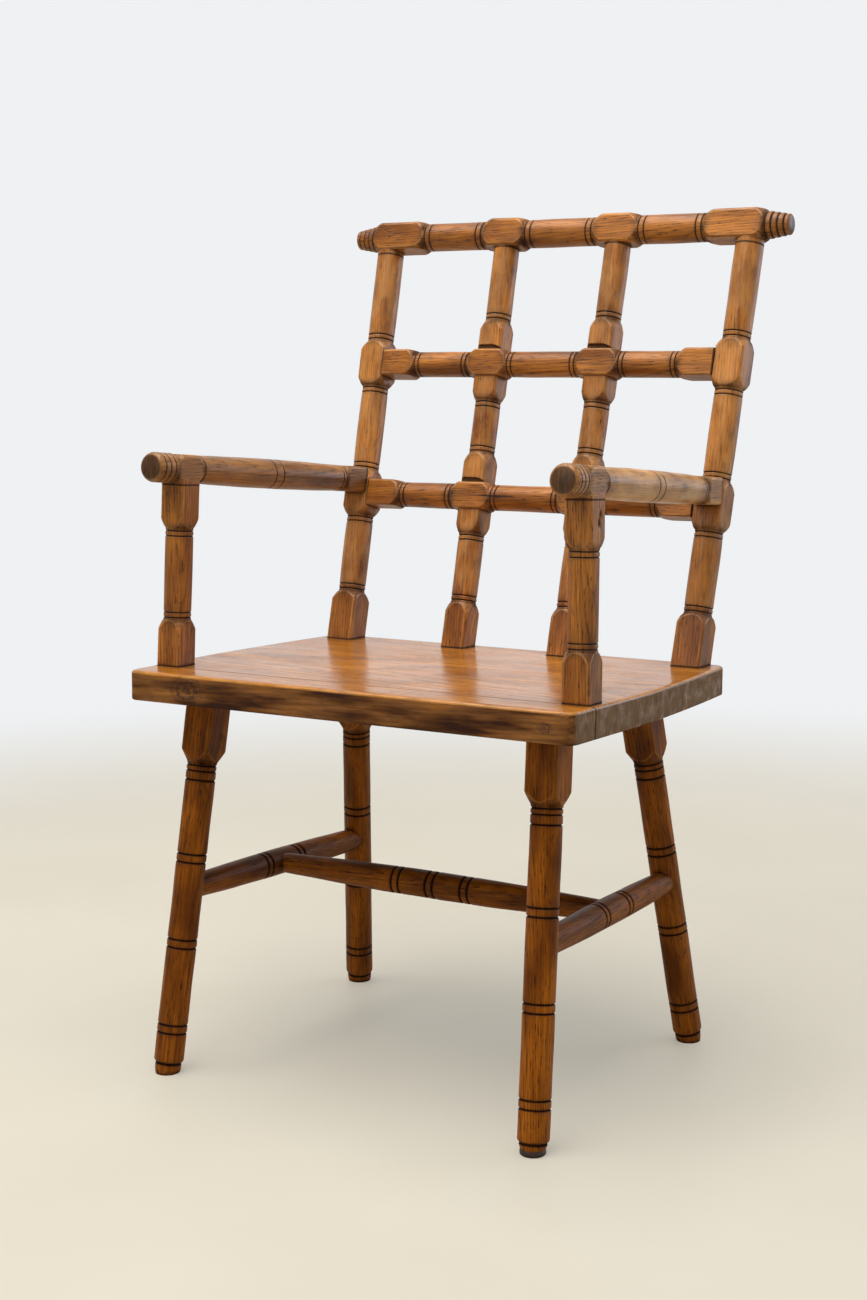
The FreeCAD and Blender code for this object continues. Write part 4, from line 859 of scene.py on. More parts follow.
@dataclass
class Legs:
    """Four splayed legs, tied by two side stretchers and a cross stretcher."""

    front: LegPlaces = ((208.0, 66.5), (225.5, 0.0))
    rear: LegPlaces = ((184.5, 320.0), (223.0, 381.0))
    diameter: float = 33.0
    square: float = 36.5
    arris: float = 48.5
    block: float = 72.0
    slope: float = 13.0
    ring_start: float = 176.5
    ring_pitch: float = 93.5
    pair_width: float = 9.0
    ring_width: float = 3.2
    collar: tuple[tuple[float, float], ...] = ((75.0, 2.6), (81.0, 2.6), (91.0, 3.0))
    toe: float = 11.0
    toe_groove: float = 4.6
    toe_diameters: tuple[float, float, float] = (29.4, 28.8, 25.2)
    hidden: float = 9.0
    pad_height: float = 6.0
    side_heights: tuple[float, float] = (199.5, 189.5)
    side_diameters: tuple[float, float] = (25.5, 30.5)
    side_rings: tuple[float, ...] = (-30.0, 30.0)
    cross_diameters: tuple[float, float] = (22.0, 31.0)
    cross_rings: tuple[float, ...] = (-44.0, 0.0, 44.0)
    stretcher_ring: float = 4.0
    stretcher_depth: float = 1.8
    # painted shade all over the stretchers, which stand low under the seat
    stretcher_film: float = 0.5
    groove_depth: float = 1.4

    def ends(self, which: LegPlaces) -> tuple[Vector, Vector]:
        """Top of a leg at the underside of the seat and its foot on the floor."""
        (top_x, top_y), (foot_x, foot_y) = which
        return LAYOUT.on_seat(top_x, top_y, LAYOUT.seat_thickness), Vector((foot_x, foot_y, 0))

    def at_height(self, which: LegPlaces, height: float) -> Vector:
        """Place on a leg's axis at a height over the floor."""
        top, foot = self.ends(which)
        return foot.lerp(top, height / top.z)

    def build(self, finish: bpy.types.Material, pad_finish: bpy.types.Material) -> None:
        """Make and dress the legs, the stretchers and the pad.

        Args:
            finish: oak of the legs.
            pad_finish: finish of the levelling pad.
        """
        for side in Side:
            for word, which in (("front", self.front), ("rear", self.rear)):
                name = f"{word}_{side.word}_leg"
                floor = self.pad_height if name == "front_right_leg" else 0.0
                dress(self.leg(name, side, which, floor).build(), finish, "leg_oak", name)
            name = f"{side.word}_side_stretcher"
            dress(self.side_stretcher(name, side).build(), finish, "leg_oak", name)
        dress(self.cross_stretcher().build(), finish, "leg_oak", "cross_stretcher")
        dress(self.pad().build(), pad_finish, "pad_hardwood", "levelling_pad")

    def leg(self, name: str, side: Side, which: LegPlaces, floor: float) -> Turning:
        """One leg.

        Args:
            name: name of the piece.
            side: half of the chair.
            which: front or rear places.
            floor: height at which the foot is cut off level.

        Returns:
            The turning to build.
        """
        top, foot = (side.place(place) for place in self.ends(which))
        length = (foot - top).length
        radius = self.diameter / 2
        toe = length - self.toe
        level = length - floor * length / top.z
        near, low, sole = (across / 2 for across in self.toe_diameters)
        outline = [(-self.hidden, self.arris / 2), (self.block - self.slope, self.arris / 2),
                   (self.block, radius), (toe - 4, radius), (toe - 2.4, radius - 0.4), (toe + 2.2, near),
                   (level - 3.6, low), (level + 4, sole)]
        grooves = [*self.collar, (toe, self.toe_groove)]
        for number in range(3):
            middle = self.ring_start + self.ring_pitch * number
            grooves += pair(middle - self.pair_width / 2, self.pair_width, self.ring_width)
        block = Block(-self.hidden, self.block, self.square, self.arris, self.slope, first=False)
        return Turning(name, top, foot, BACKWARD, outline, [block], grooves,
                       cuts=[(Vector((0, 0, floor)), -UP)],
                       joints=[LAYOUT.seat_plane(LAYOUT.seat_thickness)], groove_depth=self.groove_depth)

    def spindle(self, name: str, start: Vector, end: Vector, thick: tuple[float, float],
                middles: Iterable[float]) -> Turning:
        """Bar that is fattest at its middle.

        Args:
            name: name of the piece.
            start: axis of the member at one end.
            end: axis of the member at the other end.
            thick: diameters at the ends and at the middle.
            middles: where its pairs of rings are, from its middle.

        Returns:
            The turning to build.
        """
        length = (end - start).length
        outline = bow((0, thick[0] / 2), (length, thick[0] / 2), (thick[1] - thick[0]) / 2, 24)
        grooves = []
        for middle in middles:
            grooves += pair(length / 2 + middle - self.pair_width / 2, self.pair_width, self.stretcher_ring)
        return Turning(name, start, end, UP, outline, grooves=grooves, film=self.stretcher_film, turns=72,
                       groove_depth=self.stretcher_depth)

    def side_stretcher(self, name: str, side: Side) -> Turning:
        """Stretcher between the legs of one side."""
        start, end = (side.place(place) for place in self.side_places())
        return self.spindle(name, start, end, self.side_diameters, self.side_rings)

    def side_places(self) -> tuple[Vector, Vector]:
        """Where the right side stretcher meets the axes of the front leg and the rear leg."""
        front, rear = self.side_heights
        return self.at_height(self.front, front), self.at_height(self.rear, rear)

    def cross_stretcher(self) -> Turning:
        """Stretcher between the middles of the two side stretchers."""
        front, rear = self.side_places()
        end = front.lerp(rear, 0.5)
        start = Side.LEFT.place(end)
        return self.spindle("cross_stretcher", start, end, self.cross_diameters, self.cross_rings)

    def pad(self) -> Turning:
        """Dark disc under the front right foot."""
        foot = self.ends(self.front)[1]
        outline = [(0, 12.2), (0.5, 12.9), (1.2, 13.4), (3, 13.5), (5.4, 13.2), (6, 12.6)]
        return Turning("levelling_pad", foot, foot + UP * self.pad_height, BACKWARD, outline, turns=48)


@dataclass
class Back:
    """Lattice back: two outer posts, two inner posts, two rails crossed over them and a top rail."""

    hidden: float = 7.0
    slope: float = 10.0
    ring_gap: float = 3.0
    ring_step: float = 5.5
    outer_arris: float = 46.5
    outer_neck: float = 32.0
    outer_belly: float = 0.5
    outer_foot: float = 56.0
    outer_half_block: float = 27.5
    inner_square: float = 32.0
    inner_arris: float = 41.0
    inner_neck: float = 30.6
    inner_belly: float = 0.2
    inner_foot: float = 51.0
    inner_below: float = 44.0
    inner_above: float = 51.0
    rail_square: float = 32.0
    rail_arris: float = 43.0
    rail_neck: float = 30.8
    rail_slope: float = 9.0
    rail_end_block: float = 42.0
    rail_half_block: float = 25.0
    top_square: float = 34.0
    top_arris: float = 45.0
    top_neck: float = 33.6
    top_ring_step: float = 7.0
    top_overhang: float = 18.5
    top_end_block: float = 52.0
    top_half_block: float = 27.0
    half_top: float = 282.9
    finial_rings: tuple[float, ...] = (5.6, 12.6, 19.6, 26.6)
    finial_groove: float = 2.2
    finial_tip: float = 11.2
    finial_root: float = 16.0
    bead_round: float = 0.9
    rub_start: float = 60.0
    rub_share: float = 0.55

    def build(self, finish: bpy.types.Material) -> None:
        """Make and dress the posts and rails.

        Args:
            finish: oak of the back.
        """
        for side in Side:
            name = f"{side.word}_outer_post"
            dress(self.outer_post(name, side).build(), finish, "back_oak", name)
            name = f"{side.word}_inner_post"
            dress(self.inner_post(name, side).build(), finish, "back_oak", name)
        for name, up in (("lower_rail", LAYOUT.low_rail), ("middle_rail", LAYOUT.mid_rail)):
            dress(self.rail(name, up).build(), finish, "back_oak", name)
        dress(self.top_rail().build(), finish, "back_oak", "top_rail")

    def post(self, name: str, side: Side, spread: tuple[float, float], stock: tuple[float, float, float],
             foot_block: float, spans: Sequence[tuple[float, float]], belly: float) -> Turning:
        """A post of the back.

        Args:
            name: name of the piece.
            side: half of the chair.
            spread: distance from the middle at the seat and at the top rail.
            stock: side of its square blocks, size over their arrises and neck diameter.
            foot_block: height of the block on the seat.
            spans: where its other blocks start and end.
            belly: swelling of the shafts between the blocks.

        Returns:
            The turning to build.
        """
        start, end = side.place(LAYOUT.post(spread, 0)), side.place(LAYOUT.post(spread, LAYOUT.back_length))
        length = (end - start).length
        square, arris, neck = stock
        blocks = [Block(-self.hidden, foot_block, square, arris, self.slope, first=False)]
        blocks += [Block(low, high, square, arris, self.slope) for low, high in spans]
        outline = blocks[0].outline(neck)
        grooves = pair(foot_block + self.ring_gap, self.ring_step)
        for block in blocks[1:]:
            outline += bow(outline[-1], (block.start, neck / 2), belly)[1:-1] + block.outline(neck)
            grooves += pair(block.start - self.ring_gap - self.ring_step, self.ring_step)
            grooves += pair(block.end + self.ring_gap, self.ring_step)
        outline += bow(outline[-1], (length, neck / 2), belly)[1:]
        under_rail = LAYOUT.on_back(0, LAYOUT.back_length - self.top_square / 2 - 0.5)
        joints = [LAYOUT.seat_plane(-LAYOUT.wax_line), (under_rail, (end - start).normalized())]
        return Turning(name, start, end, BACKWARD, outline, blocks, grooves, joints=joints,
                       rubbed=(self.rub_start, length, self.rub_share))

    def outer_post(self, name: str, side: Side) -> Turning:
        """Outer post, square where a rail and the arm meet it.

        Args:
            name: name of the piece.
            side: half of the chair.

        Returns:
            The turning to build.
        """
        half = self.outer_half_block
        spans = [(up - half, up + half) for up in (LAYOUT.low_rail, LAYOUT.mid_rail)]
        stock = (LAYOUT.outer_square, self.outer_arris, self.outer_neck)
        return self.post(name, side, LAYOUT.outer, stock, self.outer_foot, spans, self.outer_belly)

    def inner_post(self, name: str, side: Side) -> Turning:
        """Inner post, with an arched undercut over each rail, painted in shade.

        Args:
            name: name of the piece.
            side: half of the chair.

        Returns:
            The turning to build.
        """
        spans = [(up - self.inner_below, up + self.inner_above) for up in (LAYOUT.low_rail, LAYOUT.mid_rail)]
        stock = (self.inner_square, self.inner_arris, self.inner_neck)
        made = self.post(name, side, LAYOUT.inner, stock, self.inner_foot, spans, self.inner_belly)
        made.arches = [up + self.rail_square / 2 for up in (LAYOUT.low_rail, LAYOUT.mid_rail)]
        return made

    def rail(self, name: str, up: float) -> Turning:
        """Rail that crosses the inner posts and ends on the outer posts.

        Args:
            name: name of the piece.
            up: height of its axis along the back.

        Returns:
            The turning to build.
        """
        half = LAYOUT.post(LAYOUT.outer, up).x
        crossing = LAYOUT.post(LAYOUT.inner, up).x
        inside = half - LAYOUT.outer_square / 2
        start, end = LAYOUT.on_back(-half, up, LAYOUT.rail_proud), LAYOUT.on_back(half, up, LAYOUT.rail_proud)
        make = dict(side=self.rail_square, arris=self.rail_arris, slope=self.rail_slope)
        low, high, about = half - inside, half + inside, self.rail_half_block
        blocks = [Block(low, low + self.rail_end_block, first=False, **make)]
        blocks += [Block(half + middle - about, half + middle + about, **make)
                   for middle in (-crossing, crossing)]
        blocks.append(Block(high - self.rail_end_block, high, last=False, **make))
        made = self.chain(name, start, end, blocks, self.rail_neck, self.ring_step)
        made.joints = [(Vector((side.value * (inside + 0.9), 0, 0)), Vector((1, 0, 0))) for side in Side]
        return made

    def chain(self, name: str, start: Vector, end: Vector, blocks: list[Block], neck: float,
              step: float) -> Turning:
        """Rail with blocks along it and a pair of grooves beside each slope.

        Args:
            name: name of the piece.
            start: where its heights are counted from.
            end: the other end of its axis.
            blocks: its square blocks in order.
            neck: diameter between them.
            step: spacing of the two grooves of a pair.

        Returns:
            The turning to build.
        """
        outline: Pairs = []
        grooves: Pairs = []
        for block in blocks:
            outline += block.outline(neck)
            grooves += pair(block.start - self.ring_gap - step, step) if block is not blocks[0] else []
            grooves += pair(block.end + self.ring_gap, step) if block is not blocks[-1] else []
        return Turning(name, start, end, LAYOUT.back_normal(), outline, blocks, grooves)

    def top_rail(self) -> Turning:
        """Top rail with a ringed finial at each end."""
        half, over = self.half_top, LAYOUT.outer[1]
        crossing = LAYOUT.inner[1]
        start, end = LAYOUT.on_back(-half, LAYOUT.back_length), LAYOUT.on_back(half, LAYOUT.back_length)
        make = dict(side=self.top_square, arris=self.top_arris, slope=self.slope)
        beyond, inward, about = self.top_overhang, self.top_end_block, self.top_half_block
        blocks = [Block(half - over - beyond, half - over + inward, **make)]
        blocks += [Block(half + middle - about, half + middle + about, **make)
                   for middle in (-crossing, crossing)]
        blocks.append(Block(half + over - inward, half + over + beyond, **make))
        made = self.chain("top_rail", start, end, blocks, self.top_neck, self.top_ring_step)
        finial = self.finial(half - over - beyond)
        tail = [(2 * half - height, radius) for height, radius in reversed(finial)]
        made.outline = finial + made.outline[1:-1] + tail
        made.grooves += [(at, self.finial_groove) for ring in self.finial_rings
                         for at in (ring, 2 * half - ring)]
        return made

    def finial(self, length: float) -> Pairs:
        """Beads that grow from the flat tip to the block.

        Args:
            length: length of the finial.

        Returns:
            Outline from the tip inwards.
        """
        tip, root = self.finial_tip, self.finial_root
        ends = [0.0, *self.finial_rings]
        points = [(0.0, tip - 1.2), (0.5, tip - 0.5)]
        for near, far in zip(ends, ends[1:]):
            for share in (0.2, 0.5, 0.8):
                place = near + (far - near) * share
                crown = tip + (root - tip) * far / length
                points.append((place, crown - self.bead_round * (2 * share - 1) ** 2))
        points.append((length, root - 0.6))
        return points


@dataclass
class Arms:
    """Two turned arms on turned posts."""

    front: tuple[float, float, float] = (244.5, 20.0, 656.0)
    on_post: float = 195.0
    post_place: float = 50.0
    square: float = 31.0
    arris: float = 41.0
    neck: float = 31.2
    slope: float = 8.0
    block: float = 42.0
    rear_block: float = 38.0
    nose: float = 33.0
    disc: float = 27.0
    nose_rings: tuple[float, ...] = (8.0, 16.0, 24.0)
    nose_groove: float = 2.4
    ring_gap: float = 3.0
    ring_step: float = 5.5
    middle_pair: float = 14.0
    ring_width: float = 2.2
    belly: float = 1.5
    post_foot: tuple[float, float] = (246.5, 58.0)
    post_square: float = 31.0
    post_arris: float = 41.0
    post_neck: float = 30.6
    post_slope: float = 10.0
    post_foot_block: float = 50.0
    post_top_block: float = 48.0
    hidden: float = 7.0
    groove_depth: float = 1.3
    # painted light from the window on the right: shade all over the left arm, a pale sheen with the wear on
    # the right arm
    left_film: float = 0.4
    right_rubbed: tuple[float, float, float] = (66.0, 320.0, 0.85)

    def axis(self, side: Side) -> tuple[Vector, Vector]:
        """Front end of an arm and the place where its axis meets the outer post."""
        return side.place(Vector(self.front)), side.place(LAYOUT.post(LAYOUT.outer, self.on_post))

    def build(self, arm_finish: bpy.types.Material, post_finish: bpy.types.Material) -> None:
        """Make and dress the arms and their posts.

        Args:
            arm_finish: oak worn pale by hands.
            post_finish: oak of the posts.
        """
        for side in Side:
            name = f"{side.word}_arm"
            arm = self.arm(name, side)
            # painted shade on the left arm, painted sheen with wear on the right arm
            if side is Side.LEFT:
                arm.film = self.left_film
            else:
                arm.rubbed = self.right_rubbed
            dress(arm.build(), arm_finish, "arm_oak", name)
            name = f"{side.word}_arm_post"
            dress(self.post(name, side).build(), post_finish, "back_oak", name)

    def arm(self, name: str, side: Side) -> Turning:
        """One arm, from its rounded nose to the outer post.

        Args:
            name: name of the piece.
            side: half of the chair.

        Returns:
            The turning to build.
        """
        start, end = self.axis(side)
        length = (end - start).length
        near, far = self.post_place - self.block / 2, self.post_place + self.block / 2
        rear = length - LAYOUT.outer_square / 2 - self.rear_block
        last = length - LAYOUT.outer_square / 2 + 2
        middle = (far + rear) / 2
        blocks = [Block(near, far, self.square, self.arris, self.slope),
                  Block(rear, last, self.square, self.arris, self.slope, last=False)]
        nose, disc = self.nose / 2, self.disc / 2
        edge, neck = self.arris / 2, self.neck / 2
        outline = [(0, disc - 1.0), (0.4, disc), (1.4, disc + 1.3), (3, nose - 0.7), (5, nose),
                   (near - 0.3, nose), (near + self.slope, edge), (far - self.slope, edge), (far, neck)]
        outline += bow(outline[-1], (rear, neck), self.belly, 20)[1:-1] + blocks[1].outline(self.neck)
        grooves = [(ring, self.nose_groove) for ring in self.nose_rings]
        grooves += [(far + self.ring_gap, self.ring_width)]
        grooves += pair(middle - self.middle_pair / 2, self.middle_pair, self.ring_width)
        grooves += pair(rear - self.ring_gap - self.ring_step, self.ring_step)
        along = (end - start).normalized()
        joints = [(start + along * (length - LAYOUT.outer_square / 2), along)]
        return Turning(name, start, end, UP, outline, blocks, grooves, joints=joints,
                       groove_depth=self.groove_depth)

    def post(self, name: str, side: Side) -> Turning:
        """One arm post, from the seat to the underside of its arm.

        Args:
            name: name of the piece.
            side: half of the chair.

        Returns:
            The turning to build.
        """
        front, rear = self.axis(side)
        start = side.place(LAYOUT.on_seat(*self.post_foot))
        end = front + (rear - front).normalized() * self.post_place
        length = (end - start).length
        top = length - self.square / 2
        make = dict(side=self.post_square, arris=self.post_arris, slope=self.post_slope)
        foot, head = self.post_foot_block, top - self.post_top_block
        blocks = [Block(-self.hidden, foot, first=False, **make), Block(head, top + 5, last=False, **make)]
        outline = blocks[0].outline(self.post_neck) + blocks[1].outline(self.post_neck)
        grooves = pair(foot + self.ring_gap, self.ring_step)
        grooves += pair(head - self.ring_gap - self.ring_step, self.ring_step)
        chips = [(top - 15, 0.28, 4.0), (top - 23, 0.12, 5.5)] if side is Side.RIGHT else []
        under_arm = start.lerp(end, (top - 1.4) / length)
        joints = [LAYOUT.seat_plane(-LAYOUT.wax_line), (under_arm, (end - start).normalized())]
        return Turning(name, start, end, BACKWARD, outline, blocks, grooves, joints=joints, chips=chips)


@dataclass
class Seat:
    """Plank seat of two boards with rounded corners, worn upper edges with a painted highlight and painted
    shade on the faces below the top.
    """

    front_width: float = 534.0
    knee_width: float = 542.0
    knee: float = 165.0
    knee_ease: tuple[float, float] = (0.6, 40.0)
    back_width: float = 516.0
    side_bow: float = 2.0
    front_corner: float = 12.0
    back_corner: float = 12.0
    top_round: float = 3.2
    bottom_round: float = 1.8
    seam: float = 45.0
    seam_gap: float = 0.1
    seam_round: float = 0.4
    rim: float = 6.0

    def build(self, finish: bpy.types.Material) -> None:
        """Make and dress both boards.

        Args:
            finish: oak of the seat.
        """
        dress(self.board("seat_front_board", 1), finish, "seat_oak", "seat_front_board")
        dress(self.board("seat_main_board", -1), finish, "seat_oak", "seat_main_board")

    def outline(self) -> list[Vector]:
        """Outline of the plank seen from above, anticlockwise, closely stepped round the corners."""
        depth = LAYOUT.seat_depth
        half = self.corner(self.front_width, self.front_corner, self.front_corner, -90)
        before, sooner = self.knee_ease
        half.append(Vector((self.knee_width / 2 - before, self.knee - sooner)))
        half.append(Vector((self.knee_width / 2, self.knee)))
        start, stop = half[-1], Vector((self.back_width / 2, depth - self.back_corner))
        for step in range(1, 10):
            share = step / 10
            half.append(start.lerp(stop, share) + Vector((self.side_bow * 4 * share * (1 - share), 0)))
        half += self.corner(self.back_width, depth - self.back_corner, self.back_corner, 0)
        return half + [Vector((-point.x, point.y)) for point in reversed(half)]

    def corner(self, width: float, behind: float, radius: float, first: float) -> list[Vector]:
        """Quarter circle at a right-hand corner of the plank.

        Args:
            width: width of the plank there.
            behind: distance of the circle's middle from the front edge.
            radius: its radius.
            first: angle of its first point, in degrees from straight to the right.

        Returns:
            Its points, anticlockwise.
        """
        middle = Vector((width / 2 - radius, behind))
        turns = [math.radians(first + 7.5 * step) for step in range(13)]
        return [middle + Vector((math.cos(turn), math.sin(turn))) * radius for turn in turns]

    def inset(self, outline: list[Vector], amounts: Sequence[float]) -> list[Vector]:
        """Outline with each point moved square to the outline.

        Args:
            outline: closed outline, anticlockwise.
            amounts: distance inwards for each point.

        Returns:
            The moved points.
        """
        moved = []
        for at, (point, amount) in enumerate(zip(outline, amounts)):
            along = (outline[(at + 1) % len(outline)] - outline[at - 1]).normalized()
            moved.append(point + Vector((-along.y, along.x)) * amount)
        return moved

    def plank(self) -> bmesh.types.BMesh:
        """The whole plank before it is parted, lying level with its top at height 0.

        Returns:
            The mesh, with the layer "wear" on its upper edge, for worn wood and a painted highlight.
        """
        outline = self.outline()
        count = len(outline)
        uneven = 0.3 + 0.3 * np.sin(np.arange(count) * 1.7) * np.sin(np.arange(count) * 0.31)
        mesh = bmesh.new()
        wear = mesh.verts.layers.float.new("wear")
        lower = [(-1, degrees, 0.0) for degrees in (90, 60, 30, 0)]
        upper = [(1, degrees, 0.0) for degrees in (0, 22.5, 45, 67.5, 90)]
        rings = []
        for side, degrees, extra in [(-1, 90, self.rim), *lower, *upper, (1, 90, self.rim)]:
            radius = self.top_round + uneven if side > 0 else np.full(count, self.bottom_round)
            turn = math.radians(degrees)
            level = 0.0 if side > 0 else -LAYOUT.seat_thickness
            ring = []
            for point, amount in zip(self.inset(outline, radius * (1 - math.cos(turn)) + extra), radius):
                ring.append(mesh.verts.new((point.x, point.y, level - side * amount * (1 - math.sin(turn)))))
                # the upper round is marked for worn wood and a painted highlight
                ring[-1][wear] = 1.0 if side > 0 and 20 < degrees < 70 else 0.0
            rings.append(ring)
        for low, high in zip(rings, rings[1:]):
            for at in range(count):
                mesh.faces.new((low[at - 1], low[at], high[at], high[at - 1]))
        mesh.faces.new(rings[-1])
        mesh.faces.new(rings[0][::-1])
        return mesh

    def board(self, name: str, part: int) -> bpy.types.Object:
        """Mesh of one board.

        Args:
            name: name of the piece.
            part: 1 for the strip in front of the seam, -1 for the rest.

        Returns:
            The new object.
        """
        mesh = self.plank()
        wear = mesh.verts.layers.float["wear"]
        for back, drop in ((2.0, False), (0.8, False), (self.seam_gap, True)):
            cut = bmesh.ops.bisect_plane(mesh, geom=mesh.verts[:] + mesh.edges[:] + mesh.faces[:],
                                         plane_co=(0, self.seam - part * back, 0), plane_no=(0, part, 0),
                                         clear_outer=drop)
        rim = [edge for edge in cut["geom_cut"] if isinstance(edge, bmesh.types.BMEdge)]
        bmesh.ops.contextual_create(mesh, geom=rim)
        for corner in mesh.verts:
            if abs(corner.co.y - self.seam) < self.seam_gap * 2 and corner.co.z > -1:
                corner.co.z -= self.seam_round
        mesh.verts.index_update()
        local = np.array([corner.co for corner in mesh.verts])
        faces = [[corner.index for corner in face.verts] for face in mesh.faces]
        edge = np.array([corner[wear] for corner in mesh.verts])
        mesh.free()
        tilt = np.array(Matrix.Rotation(-math.atan(LAYOUT.seat_fall / LAYOUT.seat_depth), 3, "X"))
        world = local @ tilt.T + np.array((0, 0, LAYOUT.seat_height))
        beside = np.abs(local[:, 1] - self.seam)
        marks = {
            "stock": local[:, [1, 2, 0]] * MM,
            "dirt": np.clip(1.4 - beside, 0, 1) * 0.9,
            # painted shade darkens every face under the top edge; the seam has grime
            "soil": np.maximum(np.clip(2.2 - beside, 0, 1) * 0.5, 1.35 * np.clip(-local[:, 2] - 2.4, 0, 1)),
            "wear": edge * (beside > 3),
        }
        return mesh_object(name, (world + ORIGIN) * MM, faces, marks, Vector((1, 0, 0)))


@dataclass
class Studio:
    """Pale floor, soft lights and the camera of the photograph, its angles in radians."""

    camera_place: tuple[float, float, float] = (1106.0, -1654.5, 772.6)
    yaw: float = 0.53970
    pitch: float = -0.14600
    roll: float = -0.0041
    lens: float = 55.72
    floor_colour: str = "#d8d5c8"
    floor_shade: str = "#d0cdbf"
    glow_colour: str = "#e7e0cf"
    wall_colour: str = "#eff1f3"
    sky_colour: str = "#f4f6fa"
    sky_strength: float = 0.29
    room_strength: float = 0.3
    fade: tuple[float, float] = (0.9, 2.4)
    glow_share: float = 0.38

    def build(self) -> None:
        """Make the camera, the floor, the lamps and the world."""
        self.camera()
        self.floor()
        self.lamps()
        self.world()
        bpy.context.scene.view_settings.view_transform = "Standard"

    def camera(self) -> None:
        """Camera at the photograph's angle."""
        data = bpy.data.cameras.new("camera")
        data.sensor_width = 36.0
        data.lens = self.lens
        camera = bpy.data.objects.new("camera", data)
        level = math.cos(self.pitch)
        forward = Vector((-math.sin(self.yaw) * level, math.cos(self.yaw) * level, math.sin(self.pitch)))
        turn = forward.to_track_quat("-Z", "Y").to_matrix() @ Matrix.Rotation(self.roll, 3, "Z")
        place = Matrix.Translation((Vector(self.camera_place) + Vector(ORIGIN)) * MM)
        camera.matrix_world = place @ turn.to_4x4()
        bpy.context.scene.collection.objects.link(camera)
        bpy.context.scene.camera = camera

    def floor(self) -> None:
        """Pale floor that fades into the background away from the chair."""
        mesh = bpy.data.meshes.new("floor")
        reach = 30.0
        mesh.from_pydata([(-reach, -reach, 0), (reach, -reach, 0), (reach, reach, 0), (-reach, reach, 0)], [],
                         [(0, 1, 2, 3)])
        floor = bpy.data.objects.new("floor", mesh)
        bpy.context.scene.collection.objects.link(floor)
        made = bpy.data.materials.new("honed_limestone")
        made.use_nodes = True
        tree = made.node_tree
        tree.nodes.clear()
        place = add(tree, "TexCoord", out="Object")
        cloud = add(tree, "TexNoise", {"Vector": place, "Scale": 3.0, "Detail": 4.0}, "Fac")
        tone = add(tree, "MapRange", {"Value": cloud, "From Min": 0.3, "From Max": 0.7})
        colour = add(tree, "Mix", {0: tone, 6: linear(self.floor_shade), 7: linear(self.floor_colour)}, 2,
                     data_type="RGBA")
        stone = add(tree, "BsdfPrincipled", {"Base Color": colour, "Roughness": 0.55})
        away = add(tree, "VectorMath", {0: place}, "Value", operation="LENGTH")
        fade = add(tree, "MapRange", {"Value": away, "From Min": self.fade[0], "From Max": self.fade[1]},
                   interpolation_type="SMOOTHSTEP")
        seen = add(tree, "LightPath", out="Is Camera Ray")
        share = add(tree, "MapRange", {"Value": fade, "To Min": self.glow_share})
        share = add(tree, "Math", {0: share, 1: seen}, operation="MULTIPLY")
        tint = add(tree, "Mix", {0: fade, 6: linear(self.glow_colour), 7: linear(self.wall_colour)}, 2,
                   data_type="RGBA")
        glow = add(tree, "Emission", {"Color": tint})
        mixed = add(tree, "MixShader", {0: share, 1: stone, 2: glow})
        add(tree, "OutputMaterial", {"Surface": mixed}, out=None)
        mesh.materials.append(made)

    def lamp(self, name: str, place: tuple[float, float, float], size: tuple[float, float], power: float,
             colour: str) -> None:
        """Soft rectangular lamp aimed at the chair.

        Args:
            name: name of the lamp.
            place: its middle, in metres.
            size: its width and height in metres.
            power: its power in watts.
            colour: hex colour of its light.
        """
        data = bpy.data.lights.new(name, "AREA")
        data.shape = "RECTANGLE"
        data.size, data.size_y = size
        data.energy = power
        data.color = linear(colour)[:3]
        lamp = bpy.data.objects.new(name, data)
        lamp.location = place
        lamp.rotation_euler = (Vector((0, 0, 0.5)) - Vector(place)).to_track_quat("-Z", "Y").to_euler()
        bpy.context.scene.collection.objects.link(lamp)

    def lamps(self) -> None:
        """Broad light overhead, a cool window behind on the right and a weak one in front."""
        self.lamp("ceiling", (-0.2, -0.5, 2.9), (2.4, 2.4), 98.0, "#fff6ea")
        self.lamp("window", (2.3, 2.7, 1.5), (1.9, 1.9), 30.0, "#dfe6ff")
        self.lamp("front", (-0.6, -3.2, 1.9), (2.0, 1.6), 13.0, "#fff8ee")

    def world(self) -> None:
        """White walls behind and beside the chair, and a dimmer room in front of it."""
        world = bpy.data.worlds.new("surroundings")
        world.use_nodes = True
        tree = world.node_tree
        tree.nodes.clear()
        path = add(tree, "LightPath", out=None)
        around = add(tree, "TexCoord", out="Generated")
        behind = add(tree, "SeparateXYZ", {0: around}, "Y")
        room = add(tree, "MapRange", {"Value": behind, "From Min": -0.7, "From Max": 0.3,
                                      "To Min": self.room_strength})
        soft = add(tree, "Background", {"Color": linear(self.sky_colour), "Strength": self.sky_strength})
        mirrored = add(tree, "Background", {"Color": linear(self.wall_colour), "Strength": room})
        plain = add(tree, "Background", {"Color": linear(self.wall_colour), "Strength": 1.0})
        mixed = add(tree, "MixShader", {0: path.outputs["Is Glossy Ray"], 1: soft, 2: mirrored})
        mixed = add(tree, "MixShader", {0: path.outputs["Is Camera Ray"], 1: mixed, 2: plain})
        add(tree, "OutputWorld", {"Surface": mixed}, out=None)
        bpy.context.scene.world = world


# Quartered oak, turned and waxed: the darkest and dullest wood, brown to black in its grooves.
LEG_OAK = WaxedOak("waxed_oak_legs", light="#aa6112", dark="#6a3604", pore="#231003", worn="#b8782e",
                   grime="#0f0703", end="#38200f", roughness=0.42, specular=0.1, pore_share=0.75)
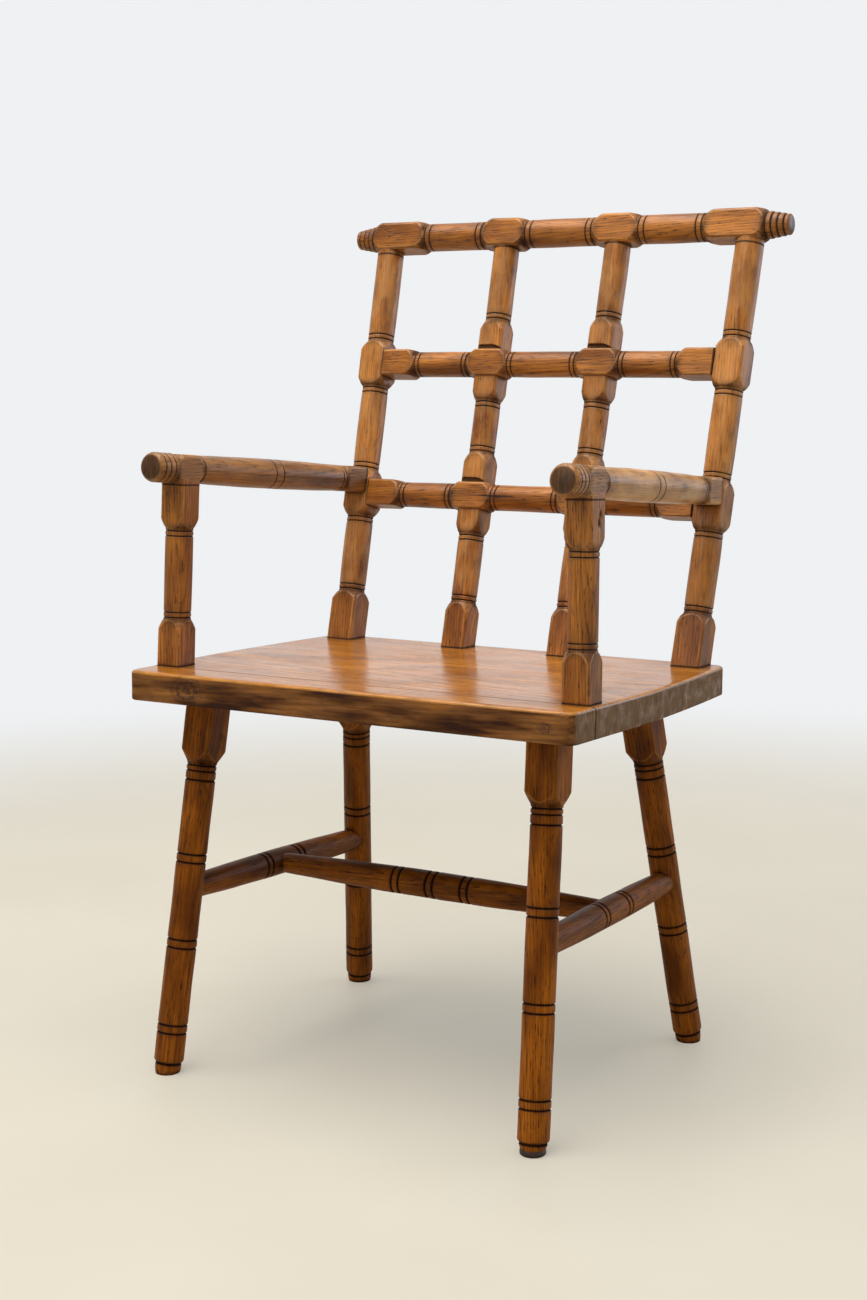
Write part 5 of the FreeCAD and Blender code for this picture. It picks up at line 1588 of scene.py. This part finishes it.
# Turned and waxed oak that backs and cloths have rubbed: golden shafts between browner blocks.
BACK_OAK = WaxedOak("waxed_oak_back", light="#bf7a2e", dark="#7d4716", pore="#2a1407", worn="#d8a060",
                    grime="#140a05", end="#422813", roughness=0.33, specular=0.36, pore_share=0.75)
# Turned oak handled bare of colour: the palest wood, greyish where it is worn and where the right arm's
# painted sheen lies, dark at its ends.
ARM_OAK = WaxedOak("waxed_oak_arms", light="#bd8340", dark="#855628", pore="#33200f", worn="#dcae72",
                   grime="#160d07", end="#2c1b0e", roughness=0.34, specular=0.4, pore_share=0.7)
# Planed oak plank, sat on and polished: amber with a soft shine, edges darkened by painted shade and dry grey
# ends.
SEAT_OAK = WaxedOak("waxed_oak_seat", light="#bf7c2c", dark="#9d611b", pore="#48270e", worn="#cb9148",
                    grime="#321403", end="#7a6a54", roughness=0.2, specular=0.38, ring=4.2,
                    pith=(-170.0, 300.0), pore_share=0.5, swell=0.07,
                    knots=((-17.0, 237.0, 6.0), (-16.0, -188.0, 15.0)),
                    shakes=((52.0, 20.0, 190.0, 0.9), (142.0, 40.0, 220.0, 0.8)))
# Turned hardwood stained nearly black, without a shine.
PAD_WOOD = WaxedOak("stained_hardwood_pad", light="#3a1a10", dark="#2a120b", pore="#1a0b06", worn="#4a2417",
                    grime="#0d0604", end="#2b140d", roughness=0.5)
# Plain beech, unfinished: pale pinkish tan and dry.
DOWEL_WOOD = WaxedOak("plain_beech_dowel", light="#c9a27a", dark="#b88f66", pore="#8a6240", worn="#d6b48f",
                      grime="#5a4028", end="#a58059", roughness=0.6)

ORIGIN = frame_origin()


def main() -> None:
    """Build the chair piece by piece, then the studio round it."""
    logging.basicConfig(level=logging.INFO, format="%(message)s")
    back, arm = BACK_OAK.material(), ARM_OAK.material()
    Seat().build(SEAT_OAK.material())
    Legs().build(LEG_OAK.material(), PAD_WOOD.material())
    Back().build(back)
    Arms().build(arm, back)
    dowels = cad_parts["seat_dowels"]
    dowels.data.materials.clear()
    dowels.data.materials.append(DOWEL_WOOD.material())
    Studio().build()


if __name__ == "__main__":
    main()
